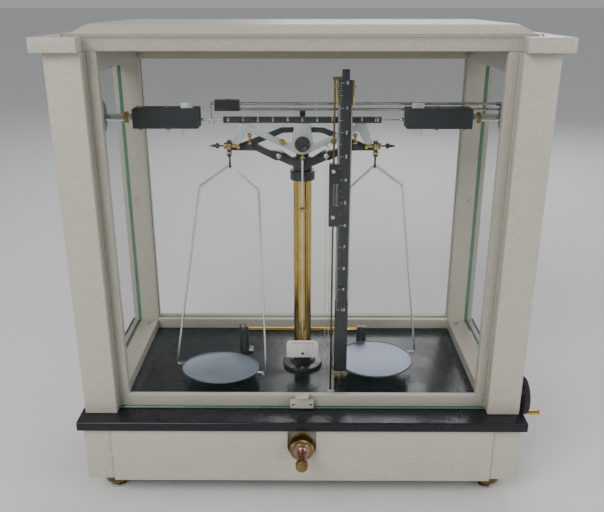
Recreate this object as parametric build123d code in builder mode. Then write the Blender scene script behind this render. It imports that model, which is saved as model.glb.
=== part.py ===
"""Two-pan analytical balance in a glazed case, with chain weighing and magnetic damping.

Millimetres, +Z up, +X to the right of the person who uses it, +Y to the rear.
The origin is the centre of the fixed rear foot's underside, on the table.
"""

import os
from math import cos, pi, radians, sin, tan

from build123d import *

os.makedirs("parts", exist_ok=True)

# ---- driving dimensions: case ----
FOOT_GAP = 25.0  # table to the underside of the casing
CASING_H = 62.0  # lower casing under the slab
SLAB_T = 10.0
POST_H = 365.0  # front posts, slab to crown
CROWN_T = 13.0
LID_T = 10.0
CASE_HALF_W = 227.5  # outer faces of the posts and casing
SLAB_LIP = 5.1
CROWN_LIP = 8.7
LID_MARGIN = 15.5
PANEL_MARGIN = 28.0
SLAB_FRONT = -222.5
SLAB_REAR = 35.0
POST_FRONT = -205.0
POST_W = 33.3
POST_DEPTH = 24.0
CASING_WALL = 10.0
CASING_SETBACK = 12.0  # casing rear face in front of the slab's rear edge
PANEL_T = 9.0
PANEL_PROUD = 2.1  # front cover stands this far in front of the stiles
STILE_FRONT = -217.0
REAR_FACE = 0.5  # front face of the rear frame
REAR_DEPTH = 20.0
REAR_STILE_W = 36.4
RAIL_H = 12.7
TOP_RAIL_H = 20.5
RAIL_INSET = 5.5  # outer face of the side rails inside the posts' outer faces
STILE_W = 10.0
GLASS_T = 4.0
GLASS_INSET = 13.0  # middle plane of the side glasses
GROOVE_GAP = 0.2
GROOVE_DEPTH = 2.7

# ---- front door and its counterweights ----
DOOR_Y = -193.5
DOOR_T = 3.2
DOOR_INSET = 15.1
DOOR_OVER = 2.0  # the glass stands above the crown when closed
DOOR_GAP = 0.4
FRAME_STILE_W = 43.0
FRONT_RAIL_H = 13.4
FRONT_FRAME_T = 7.0
WEIGHT_W = 8.5
WEIGHT_D = 17.0
WEIGHT_H = 55.0
WEIGHT_DROP = 20.0  # top of the weights under the crown when the door is closed
WEIGHT_GAP = 0.6

# ---- beam ----
ARM = 76.0  # centre knife to end knife
BEAM_Y = -116.0
BEAM_T = 4.0
COLUMN_Y = -95.0
KNIFE_Z = 269.3  # the three knife edges above the slab
BAR_RISE = 20.7  # underside of the notched bar above the knives
BAR_OVER = 5.0  # bar past the end knives
BAR_H = 6.0
BAR_D = 6.0
VANE_OUT = 42.0  # vane centre past the end knife
VANE_W = 12.4
VANE_H = 34.0
POINTER_END = 45.0
KNIFE_GAP = 0.3

# ---- column and arrest ----
COLUMN_R = 10.0
COLUMN_BORE = 6.0
COLUMN_DROP = 32.3  # column top under the knives
BASE_R = 23.0
BASE_H = 8.0
PIVOT_X = 25.0  # screws on which the two arrest arms swing
PIVOT_DROP = 15.3
PIVOT_R = 1.8
KNOB_Z = -30.0  # knob axis below the slab's top
SHAFT_R = 4.0
RUN_FIT = 0.08
STEM_R = 2.2
STEM_BORE = 2.6
CAM_R = 8.0
CAM_THROW = 2.2

# ---- pans ----
PAN_R = 43.5
PAN_T = 1.0
WIRE_R = 1.2
BOW_DROP = 23.3  # top corner of the bows under the knives
SHOULDER_DROP = 25.0
SHOULDER_X = 33.0
BOW_X = 54.0

# ---- dampers and rider gear ----
MAGNET_RISE = 2.3  # middle of the magnets above the middle of the bar
MAGNET_H = 19.6
MAGNET_GAP = 29.5  # inner face of the magnets past the end knife
MAGNET_L = 66.5
MAGNET_D = 24.0
MAGNET_SLOT = 5.0
MAGNET_SLOT_L = 23.5
SUPPORT_R = 4.0
FLANGE_R = 17.5
RIDER_Y = -95.0
RIDER_RISE = 16.5
GUIDE_RISE = 10.6
RIDER_ROD_R = 1.5

# ---- reading column with its slider ----
SCALE_IN = 34.0  # reading column inside the right end knife
SCALE_Y = -149.0
SCALE_W = 14.0
SCALE_D = 6.0
SCALE_BOTTOM = 21.0
SCALE_TOP = 336.0
SLIDER_BOTTOM = 190.0
SLIDER_H = 65.0
GUIDE_IN = 10.5  # guide rod to the left of the column's middle
GUIDE_R = 1.0
CHAIN_R = 0.8
DRIVE_Y = -175.0
DRIVE_Z = 5.5
DRIVE_R = 2.5
WHEEL_R = 20.5

# ---- pan brake ----
ROCKER_Y = -64.0
ROCKER_Z = 30.0
ROCKER_R = 2.5

# ---- feet ----
FOOT_INSET = 23.5
FOOT_Y = -193.0
FOOT_R = 12.5
PAD_R = 8.5
PAD_H = 3.5
STUD_R = 2.5

# ---- heights and planes that follow from them ----
CASE_BOTTOM = FOOT_GAP
SLAB_UNDER = FOOT_GAP + CASING_H
TOP = SLAB_UNDER + SLAB_T
CROWN_UNDER = TOP + POST_H
CROWN_TOP = CROWN_UNDER + CROWN_T
POST_IN = CASE_HALF_W - POST_W
SLAB_HALF_W = CASE_HALF_W + SLAB_LIP
CROWN_HALF_W = CASE_HALF_W + CROWN_LIP
LID_HALF_W = CASE_HALF_W - LID_MARGIN
PANEL_HALF_W = CASE_HALF_W - PANEL_MARGIN
REAR_OPEN_HALF_W = CASE_HALF_W - REAR_STILE_W
RAIL_OUT = CASE_HALF_W - RAIL_INSET
GLASS_X = CASE_HALF_W - GLASS_INSET
DOOR_HALF_W = CASE_HALF_W - DOOR_INSET
DOOR_H = POST_H + CROWN_T + DOOR_OVER
FRAME_OPEN_HALF_W = CASE_HALF_W - FRAME_STILE_W
FOOT_X = CASE_HALF_W - FOOT_INSET
POST_BACK = POST_FRONT + POST_DEPTH
CASING_REAR = SLAB_REAR - CASING_SETBACK
PANEL_FRONT = STILE_FRONT - PANEL_PROUD
PANEL_BACK = PANEL_FRONT + PANEL_T
DOOR_FRONT = DOOR_Y - DOOR_T / 2
DOOR_BACK = DOOR_Y + DOOR_T / 2
GROOVE_END = DOOR_HALF_W + 1.0
FRAME_FRONT = DOOR_BACK + 1.9
BEAM_FRONT = BEAM_Y - BEAM_T / 2
BEAM_BACK = BEAM_Y + BEAM_T / 2
KNOB_AXIS = TOP + KNOB_Z
KNIFE = TOP + KNIFE_Z
BAR_Z = KNIFE_Z + BAR_RISE
BAR_HALF_L = ARM + BAR_OVER
COLUMN_TOP = KNIFE_Z - COLUMN_DROP
PIVOT_Z = KNIFE_Z - PIVOT_DROP
BOW_TOP_Z = KNIFE_Z - BOW_DROP
SHOULDER_Z = BOW_TOP_Z - SHOULDER_DROP
MAGNET_Z = BAR_Z + BAR_H / 2 + MAGNET_RISE
MAGNET_IN = ARM + MAGNET_GAP
MAGNET_OUT = MAGNET_IN + MAGNET_L
MAGNET_SLOT_END = MAGNET_IN + MAGNET_SLOT_L
RIDER_Z = BAR_Z + RIDER_RISE
GUIDE_Z = BAR_Z + GUIDE_RISE
SCALE_X = ARM - SCALE_IN
GUIDE_X = SCALE_X - GUIDE_IN
VANE_X = ARM + VANE_OUT


def block(x0, x1, y0, y1, z0, z1, mode=Mode.ADD):
    """A box between two corners, joined to or cut from the open part."""
    with Locations(((x0 + x1) / 2, (y0 + y1) / 2, (z0 + z1) / 2)):
        Box(abs(x1 - x0), abs(y1 - y0), abs(z1 - z0), mode=mode)


def rod_x(radius, x0, x1, y, z, mode=Mode.ADD):
    with Locations(((x0 + x1) / 2, y, z)):
        Cylinder(radius, abs(x1 - x0), rotation=(0, 90, 0), mode=mode)


def rod_y(radius, y0, y1, x, z, mode=Mode.ADD):
    with Locations((x, (y0 + y1) / 2, z)):
        Cylinder(radius, abs(y1 - y0), rotation=(90, 0, 0), mode=mode)


def rod_z(radius, z0, z1, x, y, mode=Mode.ADD):
    with Locations((x, y, (z0 + z1) / 2)):
        Cylinder(radius, abs(z1 - z0), mode=mode)


def front_outline(points, y, depth, mode=Mode.ADD):
    """A flat plate whose outline stands in an XZ plane, from y back by depth."""
    with BuildSketch(Plane(origin=(0, y, 0), x_dir=(1, 0, 0), z_dir=(0, -1, 0))) as outline:
        with BuildLine():
            Polyline(*points, close=True)
        make_face()
    extrude(outline.sketch, amount=-depth, mode=mode)


def wire(points, radius, bend):
    """A round wire along straight runs joined by arcs."""
    with BuildLine() as path:
        FilletPolyline(*points, radius=bend)
    with BuildSketch(Plane(origin=path.line @ 0, z_dir=path.line % 0)) as section:
        Circle(radius)
    sweep(section.sketch, path=path.line)


# ==== lower casing ====

with BuildPart() as base_slab:
    block(-SLAB_HALF_W, SLAB_HALF_W, SLAB_FRONT, SLAB_REAR, SLAB_UNDER, TOP)
    chamfer(base_slab.edges().filter_by(Axis.X).group_by(Axis.Z)[-1], 1.2)
base_slab.part.label = "base_slab"
export_step(base_slab.part, "parts/base_slab.step")

BLOCK_IN = FOOT_X - 14.0
with BuildPart() as lower_case:
    for side in (-1, 1):
        block(side * (CASE_HALF_W - CASING_WALL), side * CASE_HALF_W, STILE_FRONT, CASING_REAR,
              CASE_BOTTOM, SLAB_UNDER)
        block(side * (PANEL_HALF_W + 0.5), side * CASE_HALF_W, STILE_FRONT, STILE_FRONT + CASING_WALL,
              CASE_BOTTOM, SLAB_UNDER)
        block(side * BLOCK_IN, side * CASE_HALF_W, PANEL_BACK + 4.0, FOOT_Y + 18.0, CASE_BOTTOM, SLAB_UNDER)
        block(side * (PANEL_HALF_W + 0.5), side * CASE_HALF_W, STILE_FRONT, PANEL_BACK + 5.0,
              CASE_BOTTOM, SLAB_UNDER)
    block(-CASE_HALF_W, CASE_HALF_W, CASING_REAR - CASING_WALL, CASING_REAR, CASE_BOTTOM, SLAB_UNDER)
    block(-26.0, 26.0, -16.0, CASING_REAR, CASE_BOTTOM, CASE_BOTTOM + 12.0)
    for side in (-1, 1):
        rod_z(SHAFT_R + RUN_FIT, CASE_BOTTOM - 1, SLAB_UNDER - 8.0, side * FOOT_X, FOOT_Y, Mode.SUBTRACT)
lower_case.part.label = "lower_case"
export_step(lower_case.part, "parts/lower_case.step")

NOTCH_HALF_W = 14.8
with BuildPart() as front_cover:
    block(-PANEL_HALF_W, PANEL_HALF_W, PANEL_FRONT, PANEL_BACK, CASE_BOTTOM - 1.5, SLAB_UNDER - 0.3)
    block(-NOTCH_HALF_W, NOTCH_HALF_W, PANEL_FRONT - 1, PANEL_BACK + 1, KNOB_AXIS, SLAB_UNDER, Mode.SUBTRACT)
    rod_y(NOTCH_HALF_W, PANEL_FRONT - 1, PANEL_BACK + 1, 0, KNOB_AXIS, Mode.SUBTRACT)
front_cover.part.label = "front_cover"
export_step(front_cover.part, "parts/front_cover.step")

BUSH_R = 9.0
PLATE_T = 3.0
PLATE_FRONT = PANEL_BACK + 0.05
with BuildPart() as inner_front_plate:
    block(-PANEL_HALF_W + 1, PANEL_HALF_W - 1, PLATE_FRONT, PLATE_FRONT + PLATE_T,
          CASE_BOTTOM + 6, SLAB_UNDER)
    rod_y(BUSH_R, PLATE_FRONT - 1, PLATE_FRONT + PLATE_T + 1, 0, KNOB_AXIS, Mode.SUBTRACT)
inner_front_plate.part.label = "inner_front_plate"
export_step(inner_front_plate.part, "parts/inner_front_plate.step")

BUSH_FLANGE_R = 11.0
BUSH_FRONT = PLATE_FRONT - 5.0
with BuildPart() as knob_bushing:
    rod_y(BUSH_R, PLATE_FRONT - 0.5, PLATE_FRONT + PLATE_T + 3.0, 0, KNOB_AXIS)
    rod_y(BUSH_FLANGE_R, BUSH_FRONT, PLATE_FRONT, 0, KNOB_AXIS)
    rod_y(SHAFT_R + RUN_FIT, BUSH_FRONT - 1, PLATE_FRONT + PLATE_T + 4.0, 0, KNOB_AXIS, Mode.SUBTRACT)
knob_bushing.part.label = "knob_bushing"
export_step(knob_bushing.part, "parts/knob_bushing.step")

with BuildPart() as rear_foot:
    rod_z(FOOT_R, 0, 9.0, 0, 0)
    chamfer(rear_foot.edges().group_by(Axis.Z)[0], 1.0)
    rod_z(8.0, 9.0, CASE_BOTTOM, 0, 0)
rear_foot.part.label = "rear_foot"
export_step(rear_foot.part, "parts/rear_foot.step")

# ==== glazed case ====

POCKET_IN = GROOVE_END + 1.8
POCKET_OUT = POCKET_IN + WEIGHT_W + 2 * WEIGHT_GAP
POCKET_Y = POST_FRONT + 3.0
POCKET_BACK = POCKET_Y + WEIGHT_D + 2 * WEIGHT_GAP
with BuildPart() as front_posts:
    for side in (-1, 1):
        block(side * POST_IN, side * CASE_HALF_W, POST_FRONT, POST_BACK, TOP, CROWN_UNDER)
    for side in (-1, 1):
        block(side * (POST_IN - 1), side * GROOVE_END, DOOR_FRONT - DOOR_GAP, DOOR_BACK + DOOR_GAP,
              TOP - 1, CROWN_UNDER + 1, Mode.SUBTRACT)
        block(side * POCKET_IN, side * POCKET_OUT, POCKET_Y, POCKET_BACK, TOP + 4.0, CROWN_UNDER + 1,
              Mode.SUBTRACT)
front_posts.part.label = "front_posts"
export_step(front_posts.part, "parts/front_posts.step")

EAR_FRONT = POST_FRONT - 8.7
LID_BACK = SLAB_REAR - 12.0
LID_SEAT = 26.0  # width of the crown's rim that carries the lid
LID_WALL = 2.0
LID_SLOPE = 59.0  # lean of the lid's bevelled edges from upright, in degrees
with BuildPart() as crown_plate:
    block(-CROWN_HALF_W, CROWN_HALF_W, EAR_FRONT, SLAB_REAR, CROWN_UNDER, CROWN_TOP)
    block(-POST_IN, POST_IN, EAR_FRONT - 1, FRAME_FRONT, CROWN_UNDER - 1, CROWN_TOP + 1, Mode.SUBTRACT)
    block(-GROOVE_END, GROOVE_END, DOOR_FRONT - DOOR_GAP, DOOR_BACK + DOOR_GAP,
          CROWN_UNDER - 1, CROWN_TOP + 1, Mode.SUBTRACT)
    block(-LID_HALF_W + LID_SEAT, LID_HALF_W - LID_SEAT, FRAME_FRONT + LID_SEAT, LID_BACK - LID_SEAT,
          CROWN_UNDER - 1, CROWN_TOP + 1, Mode.SUBTRACT)
crown_plate.part.label = "crown_plate"
export_step(crown_plate.part, "parts/crown_plate.step")

LID_CENTRE_Y = (FRAME_FRONT + LID_BACK) / 2
with BuildPart() as roof_lid:
    with BuildSketch(Plane.XY.offset(CROWN_TOP)) as lid_foot:
        with Locations((0, LID_CENTRE_Y)):
            Rectangle(2 * LID_HALF_W, LID_BACK - FRAME_FRONT)
    extrude(lid_foot.sketch, amount=LID_T, taper=LID_SLOPE)
    with BuildSketch(Plane.XY.offset(CROWN_TOP)) as lid_hollow:
        with Locations((0, LID_CENTRE_Y)):
            Rectangle(2 * (LID_HALF_W - 2 * LID_WALL), LID_BACK - FRAME_FRONT - 4 * LID_WALL)
    extrude(lid_hollow.sketch, amount=LID_T - LID_WALL, taper=LID_SLOPE, mode=Mode.SUBTRACT)
roof_lid.part.label = "roof_lid"
export_step(roof_lid.part, "parts/roof_lid.step")

with BuildPart() as front_frame:
    block(-POST_IN, POST_IN, FRAME_FRONT, POST_BACK, TOP, CROWN_UNDER)
    block(-FRAME_OPEN_HALF_W, FRAME_OPEN_HALF_W, FRAME_FRONT - 1, POST_BACK + 1,
          TOP + FRONT_RAIL_H, CROWN_UNDER + 1, Mode.SUBTRACT)
    block(-FRAME_OPEN_HALF_W, FRAME_OPEN_HALF_W, FRAME_FRONT + FRONT_FRAME_T, POST_BACK + 1,
          TOP - 1, CROWN_UNDER + 1, Mode.SUBTRACT)
front_frame.part.label = "front_frame"
export_step(front_frame.part, "parts/front_frame.step")

GROOVE_IN = GLASS_X - GLASS_T / 2 - GROOVE_GAP
GROOVE_OUT = GLASS_X + GLASS_T / 2 + GROOVE_GAP
WINDOW_BOTTOM = TOP + RAIL_H
WINDOW_TOP = CROWN_UNDER - TOP_RAIL_H
WINDOW_FRONT = POST_BACK + STILE_W
with BuildPart() as side_frames:
    for side in (-1, 1):
        block(side * REAR_OPEN_HALF_W, side * RAIL_OUT, POST_BACK, REAR_FACE, TOP, CROWN_UNDER)
    for side in (-1, 1):
        block(side * (REAR_OPEN_HALF_W - 1), side * (RAIL_OUT + 1), WINDOW_FRONT, REAR_FACE + 1,
              WINDOW_BOTTOM, WINDOW_TOP, Mode.SUBTRACT)
        block(side * GROOVE_IN, side * GROOVE_OUT, WINDOW_FRONT - GROOVE_DEPTH, REAR_FACE + 1,
              WINDOW_BOTTOM - GROOVE_DEPTH, WINDOW_TOP + GROOVE_DEPTH, Mode.SUBTRACT)
    rod_x(DRIVE_R + RUN_FIT, REAR_OPEN_HALF_W - 1, RAIL_OUT + 1, DRIVE_Y, TOP + DRIVE_Z, Mode.SUBTRACT)
side_frames.part.label = "side_frames"
export_step(side_frames.part, "parts/side_frames.step")

REAR_BACK = REAR_FACE + REAR_DEPTH
REAR_GLASS_Y = REAR_FACE + 8.0
with BuildPart() as rear_frame:
    block(-RAIL_OUT, RAIL_OUT, REAR_FACE + 0.05, REAR_BACK, TOP, CROWN_UNDER)
    block(-REAR_OPEN_HALF_W, REAR_OPEN_HALF_W, REAR_FACE - 1, REAR_BACK + 1, WINDOW_BOTTOM, WINDOW_TOP,
          Mode.SUBTRACT)
    block(-REAR_OPEN_HALF_W - GROOVE_DEPTH, REAR_OPEN_HALF_W + GROOVE_DEPTH,
          REAR_GLASS_Y - GROOVE_GAP, REAR_GLASS_Y + GLASS_T + GROOVE_GAP,
          WINDOW_BOTTOM - GROOVE_DEPTH, WINDOW_TOP + GROOVE_DEPTH, Mode.SUBTRACT)
rear_frame.part.label = "rear_frame"
export_step(rear_frame.part, "parts/rear_frame.step")

PANE_GAP = 0.3
RIDER_HOLE_R = 6.5
with BuildPart() as fixed_glass:
    for side in (-1, 1):
        block(side * (GLASS_X - GLASS_T / 2), side * (GLASS_X + GLASS_T / 2),
              WINDOW_FRONT - GROOVE_DEPTH + PANE_GAP, REAR_FACE - PANE_GAP,
              WINDOW_BOTTOM - GROOVE_DEPTH + PANE_GAP, WINDOW_TOP + GROOVE_DEPTH - PANE_GAP)
        rod_x(SUPPORT_R + 0.2, side * (GLASS_X - 9), side * (GLASS_X + 9), BEAM_Y, TOP + MAGNET_Z,
              Mode.SUBTRACT)
    rod_x(RIDER_HOLE_R, GLASS_X - 9, GLASS_X + 9, RIDER_Y, TOP + (RIDER_Z + GUIDE_Z) / 2, Mode.SUBTRACT)
    block(-REAR_OPEN_HALF_W - GROOVE_DEPTH + PANE_GAP, REAR_OPEN_HALF_W + GROOVE_DEPTH - PANE_GAP,
          REAR_GLASS_Y, REAR_GLASS_Y + GLASS_T,
          WINDOW_BOTTOM - GROOVE_DEPTH + PANE_GAP, WINDOW_TOP + GROOVE_DEPTH - PANE_GAP)
fixed_glass.part.label = "fixed_glass"
export_step(fixed_glass.part, "parts/fixed_glass.step")

# ==== front door ====

with BuildPart() as door_glass:
    block(-DOOR_HALF_W, DOOR_HALF_W, DOOR_FRONT, DOOR_BACK, TOP + 0.3, TOP + DOOR_H)
door_glass.part.label = "door_glass"
export_step(door_glass.part, "parts/door_glass.step")

LIFTER_T = 1.6
LIFTER_FRONT = DOOR_FRONT - LIFTER_T
with BuildPart() as door_lifter:
    block(-12.3, 12.3, LIFTER_FRONT, DOOR_FRONT - 0.02, TOP + 1.5, TOP + 12.0)
    block(-6.8, 6.8, LIFTER_FRONT, DOOR_FRONT - 0.02, TOP + 11.0, TOP + 19.5)
    block(-6.8, 6.8, LIFTER_FRONT - 8.0, LIFTER_FRONT + 0.5, TOP + 17.9, TOP + 19.5)
door_lifter.part.label = "door_lifter"
export_step(door_lifter.part, "parts/door_lifter.step")

with BuildPart() as counterweights:
    for side in (-1, 1):
        block(side * (POCKET_IN + WEIGHT_GAP), side * (POCKET_OUT - WEIGHT_GAP),
              POCKET_Y + WEIGHT_GAP, POCKET_BACK - WEIGHT_GAP,
              CROWN_UNDER - WEIGHT_DROP - WEIGHT_H, CROWN_UNDER - WEIGHT_DROP)
counterweights.part.label = "counterweights"
export_step(counterweights.part, "parts/counterweights.step")

# ==== column and bearing ====

with BuildPart() as column_base:
    rod_z(BASE_R, TOP, TOP + BASE_H, 0, COLUMN_Y)
    fillet(column_base.edges().group_by(Axis.Z)[-1], 2.0)
    rod_z(COLUMN_R + 0.02, TOP + 2.0, TOP + BASE_H + 1, 0, COLUMN_Y, Mode.SUBTRACT)
column_base.part.label = "column_base"
export_step(column_base.part, "parts/column_base.step")

with BuildPart() as column:
    rod_z(COLUMN_R, TOP + 2.0, TOP + COLUMN_TOP, 0, COLUMN_Y)
    rod_z(COLUMN_BORE, TOP + 1.0, TOP + COLUMN_TOP + 1, 0, COLUMN_Y, Mode.SUBTRACT)
column.part.label = "column"
export_step(column.part, "parts/column.step")

HEAD_R = 13.5
HEAD_TOP = COLUMN_TOP + 12.5
SPINE_IN = COLUMN_Y + 13.6
SPINE_OUT = SPINE_IN + 5.0
PLANE_FRONT = BEAM_BACK + 6.0
PLANE_BACK = PLANE_FRONT + 8.0
PLANE_TOP = KNIFE - KNIFE_GAP
ARM_Y = BEAM_BACK + 4.5
ARM_D = 6.5
ARM_GAP = 0.4  # between an arm and the bracket behind it
BRACKET_Y = ARM_Y + ARM_D + ARM_GAP
BRACKET_D = 4.0
BRACKET_LINE = [(0, HEAD_TOP - 9.5), (12, HEAD_TOP - 7.5), (PIVOT_X + 3, PIVOT_Z - 5), (PIVOT_X + 5, PIVOT_Z),
                (PIVOT_X + 2, PIVOT_Z + 4.5), (PIVOT_X - 3, PIVOT_Z + 4), (10, HEAD_TOP + 1),
                (0, HEAD_TOP + 1)]
with BuildPart() as column_head:
    rod_z(HEAD_R, TOP + COLUMN_TOP - 11.0, TOP + COLUMN_TOP - 1.0, 0, COLUMN_Y)
    rod_z(COLUMN_R + 0.02, TOP + COLUMN_TOP - 12.0, TOP + COLUMN_TOP, 0, COLUMN_Y, Mode.SUBTRACT)
    rod_z(HEAD_R - 3.0, TOP + COLUMN_TOP + 0.05, TOP + HEAD_TOP, 0, COLUMN_Y)
    for side in (-1, 1):
        front_outline([(side * x, TOP + z) for x, z in BRACKET_LINE], BRACKET_Y, BRACKET_D)
        rod_y(PIVOT_R, ARM_Y - 1.5, BRACKET_Y + 1.0, side * PIVOT_X, TOP + PIVOT_Z)
        rod_y(2 * PIVOT_R, ARM_Y - 1.5, ARM_Y - ARM_GAP, side * PIVOT_X, TOP + PIVOT_Z)
    block(-7.0, 7.0, COLUMN_Y, SPINE_OUT, TOP + COLUMN_TOP + 0.05, TOP + HEAD_TOP)
    block(-7.0, 7.0, COLUMN_Y + COLUMN_R + 2.0, SPINE_OUT, TOP + COLUMN_TOP - 11.0, TOP + COLUMN_TOP + 2.0)
    block(-7.0, 7.0, SPINE_IN, SPINE_OUT, TOP + COLUMN_TOP - 11.0, PLANE_TOP - 5.0)
    block(-7.0, 7.0, PLANE_FRONT, SPINE_OUT, PLANE_TOP - 11.0, PLANE_TOP - 5.0)
    block(-3.0, 3.0, SPINE_IN, SPINE_OUT, PLANE_TOP - 6.0, TOP + GUIDE_Z - RIDER_ROD_R - 0.1)
    block(-3.0, 3.0, RIDER_Y - 1.4, SPINE_OUT, TOP + GUIDE_Z - RIDER_ROD_R - 4.0,
          TOP + GUIDE_Z - RIDER_ROD_R - 0.1)
column_head.part.label = "column_head"
export_step(column_head.part, "parts/column_head.step")

with BuildPart() as bearing_plane:
    block(-6.0, 6.0, PLANE_FRONT, PLANE_BACK, PLANE_TOP - 5.0, PLANE_TOP)
bearing_plane.part.label = "bearing_plane"
export_step(bearing_plane.part, "parts/bearing_plane.step")

INDEX_Y = -117.0
with BuildPart() as index_plate:
    block(-18.25, 18.25, INDEX_Y, INDEX_Y + 1.2, TOP + 19.6, TOP + 41.0)
    fillet(index_plate.edges().filter_by(Axis.Y).group_by(Axis.Z)[-1], 5.0)
    block(-9.0, 9.0, INDEX_Y + 1.2, INDEX_Y + 3.2, TOP + BASE_H + 0.1, TOP + 24.0)
    block(-9.0, 9.0, INDEX_Y + 1.2, COLUMN_Y - 14.0, TOP + BASE_H + 0.1, TOP + BASE_H + 1.6)
index_plate.part.label = "index_plate"
export_step(index_plate.part, "parts/index_plate.step")

# ==== arrest gear ====

CONTACT_X = ARM - 21.0
CONTACT_Y = BEAM_BACK + 2.5
CONTACT_TOP = KNIFE_Z + 9.5
SEAT_TOP = KNIFE_Z - 2.3
SEAT_IN = ARM - 27.0
ARM_UNDER = [(PIVOT_X - 5.5, PIVOT_Z - 2), (PIVOT_X - 2, PIVOT_Z - 5), (PIVOT_X + 4, PIVOT_Z - 4.5),
             (SEAT_IN, SEAT_TOP - 7.5), (ARM, SEAT_TOP - 7.0)]
ARM_OVER = [(ARM, SEAT_TOP), (SEAT_IN, SEAT_TOP), (PIVOT_X + 9, SEAT_TOP - 7.0), (PIVOT_X, PIVOT_Z + 5.0),
            (PIVOT_X - 4.5, PIVOT_Z + 3.0)]
TIE_IN = 12.5
TIE_LINE = [(SEAT_IN, SEAT_TOP - 1), (ARM - 9, SEAT_TOP - 1), (22, SEAT_TOP + 16.5), (TIE_IN, SEAT_TOP + 17),
            (TIE_IN, SEAT_TOP + 11.5), (20, SEAT_TOP + 11)]
arrest_arms = {}
contact_posts = {}
for side, name in ((-1, "left"), (1, "right")):
    with BuildPart() as arrest_arm:
        front_outline([(side * x, TOP + z) for x, z in ARM_UNDER + ARM_OVER], ARM_Y, ARM_D)
        front_outline([(side * x, TOP + z) for x, z in TIE_LINE], ARM_Y + 1.5, 3.0)
        block(side * (CONTACT_X - 3), side * (CONTACT_X + 3), BEAM_BACK + 0.9, ARM_Y + 1,
              TOP + SEAT_TOP - 5, TOP + SEAT_TOP)
        rod_y(PIVOT_R + RUN_FIT, ARM_Y - 1, ARM_Y + ARM_D + 1, side * PIVOT_X, TOP + PIVOT_Z, Mode.SUBTRACT)
    arrest_arm.part.label = "arrest_arm_" + name
    arrest_arms[name] = arrest_arm
    with BuildPart() as contact_post:
        rod_z(1.6, TOP + SEAT_TOP + 0.02, TOP + CONTACT_TOP, side * CONTACT_X, CONTACT_Y)
        rod_z(2.6, TOP + SEAT_TOP + 0.02, TOP + SEAT_TOP + 3.0, side * CONTACT_X, CONTACT_Y + 0.6)
        rod_z(2.6, TOP + CONTACT_TOP - 3.0, TOP + CONTACT_TOP, side * CONTACT_X, CONTACT_Y + 0.6)
    contact_post.part.label = "contact_post_" + name
    contact_posts[name] = contact_post
export_step(arrest_arms["left"].part, "parts/arrest_arm_left.step")
export_step(arrest_arms["right"].part, "parts/arrest_arm_right.step")
export_step(contact_posts["left"].part, "parts/contact_post_left.step")
export_step(contact_posts["right"].part, "parts/contact_post_right.step")

KNOB_R = 12.8
KNOB_BACK = BUSH_FRONT - 0.6
KNOB_FRONT = KNOB_BACK - 12.0
BOSS_FRONT = KNOB_FRONT - 14.0
with BuildPart() as arrest_knob:
    rod_y(KNOB_R, KNOB_FRONT, KNOB_BACK, 0, KNOB_AXIS)
    chamfer(arrest_knob.edges().filter_by(GeomType.CIRCLE), 1.5)
    rod_y(5.0, BOSS_FRONT, KNOB_FRONT + 1, 0, KNOB_AXIS)
    rod_y(SHAFT_R, KNOB_FRONT + 6, KNOB_BACK + 1, 0, KNOB_AXIS, Mode.SUBTRACT)
    rod_y(STEM_BORE, BOSS_FRONT - 1, KNOB_BACK + 1, 0, KNOB_AXIS, Mode.SUBTRACT)
arrest_knob.part.label = "arrest_knob"
export_step(arrest_knob.part, "parts/arrest_knob.step")

with BuildPart() as arrest_shaft:
    rod_y(SHAFT_R - 0.02, KNOB_FRONT + 6.1, COLUMN_Y + 9.0, 0, KNOB_AXIS)
    rod_y(CAM_R, COLUMN_Y - 4.0, COLUMN_Y + 4.0, -CAM_THROW, KNOB_AXIS)
    rod_y(STEM_BORE, KNOB_FRONT, COLUMN_Y - 8.0, 0, KNOB_AXIS, Mode.SUBTRACT)
arrest_shaft.part.label = "arrest_shaft"
export_step(arrest_shaft.part, "parts/arrest_shaft.step")

BUTTON_TRAVEL = 5.0
BUTTON_R = 6.3
BUTTON_BACK = BOSS_FRONT - BUTTON_TRAVEL - 1.0
with BuildPart() as brake_button:
    rod_y(BUTTON_R, BUTTON_BACK - 8.5, BUTTON_BACK, 0, KNOB_AXIS)
    fillet(brake_button.edges().filter_by(GeomType.CIRCLE), 1.5)
    rod_y(STEM_R, BUTTON_BACK - 1, COLUMN_Y - 8.0 - BUTTON_TRAVEL - 1.0, 0, KNOB_AXIS)
brake_button.part.label = "brake_button"
export_step(brake_button.part, "parts/brake_button.step")

# ==== pan brake ====

BEARING_X = ARM - 10.0
with BuildPart() as brake_bearings:
    for side in (-1, 1):
        block(side * BEARING_X, side * (BEARING_X + 5), ROCKER_Y - 4, ROCKER_Y + 4, TOP, TOP + ROCKER_Z + 5)
        block(side * (BEARING_X - 5), side * (BEARING_X + 5.4), ROCKER_Y - 6, ROCKER_Y + 8, TOP, TOP + 3)
        rod_x(ROCKER_R + RUN_FIT, side * (BEARING_X - 1), side * (BEARING_X + 6), ROCKER_Y, TOP + ROCKER_Z,
              Mode.SUBTRACT)
brake_bearings.part.label = "brake_bearings"
export_step(brake_bearings.part, "parts/brake_bearings.step")

BRAKE_ARM_X = BEARING_X + 6.0
BRAKE_ARM_W = 5.0
BAR_UNDER = TOP + 1.4
BRAKE_BAR_T = 2.4
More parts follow.
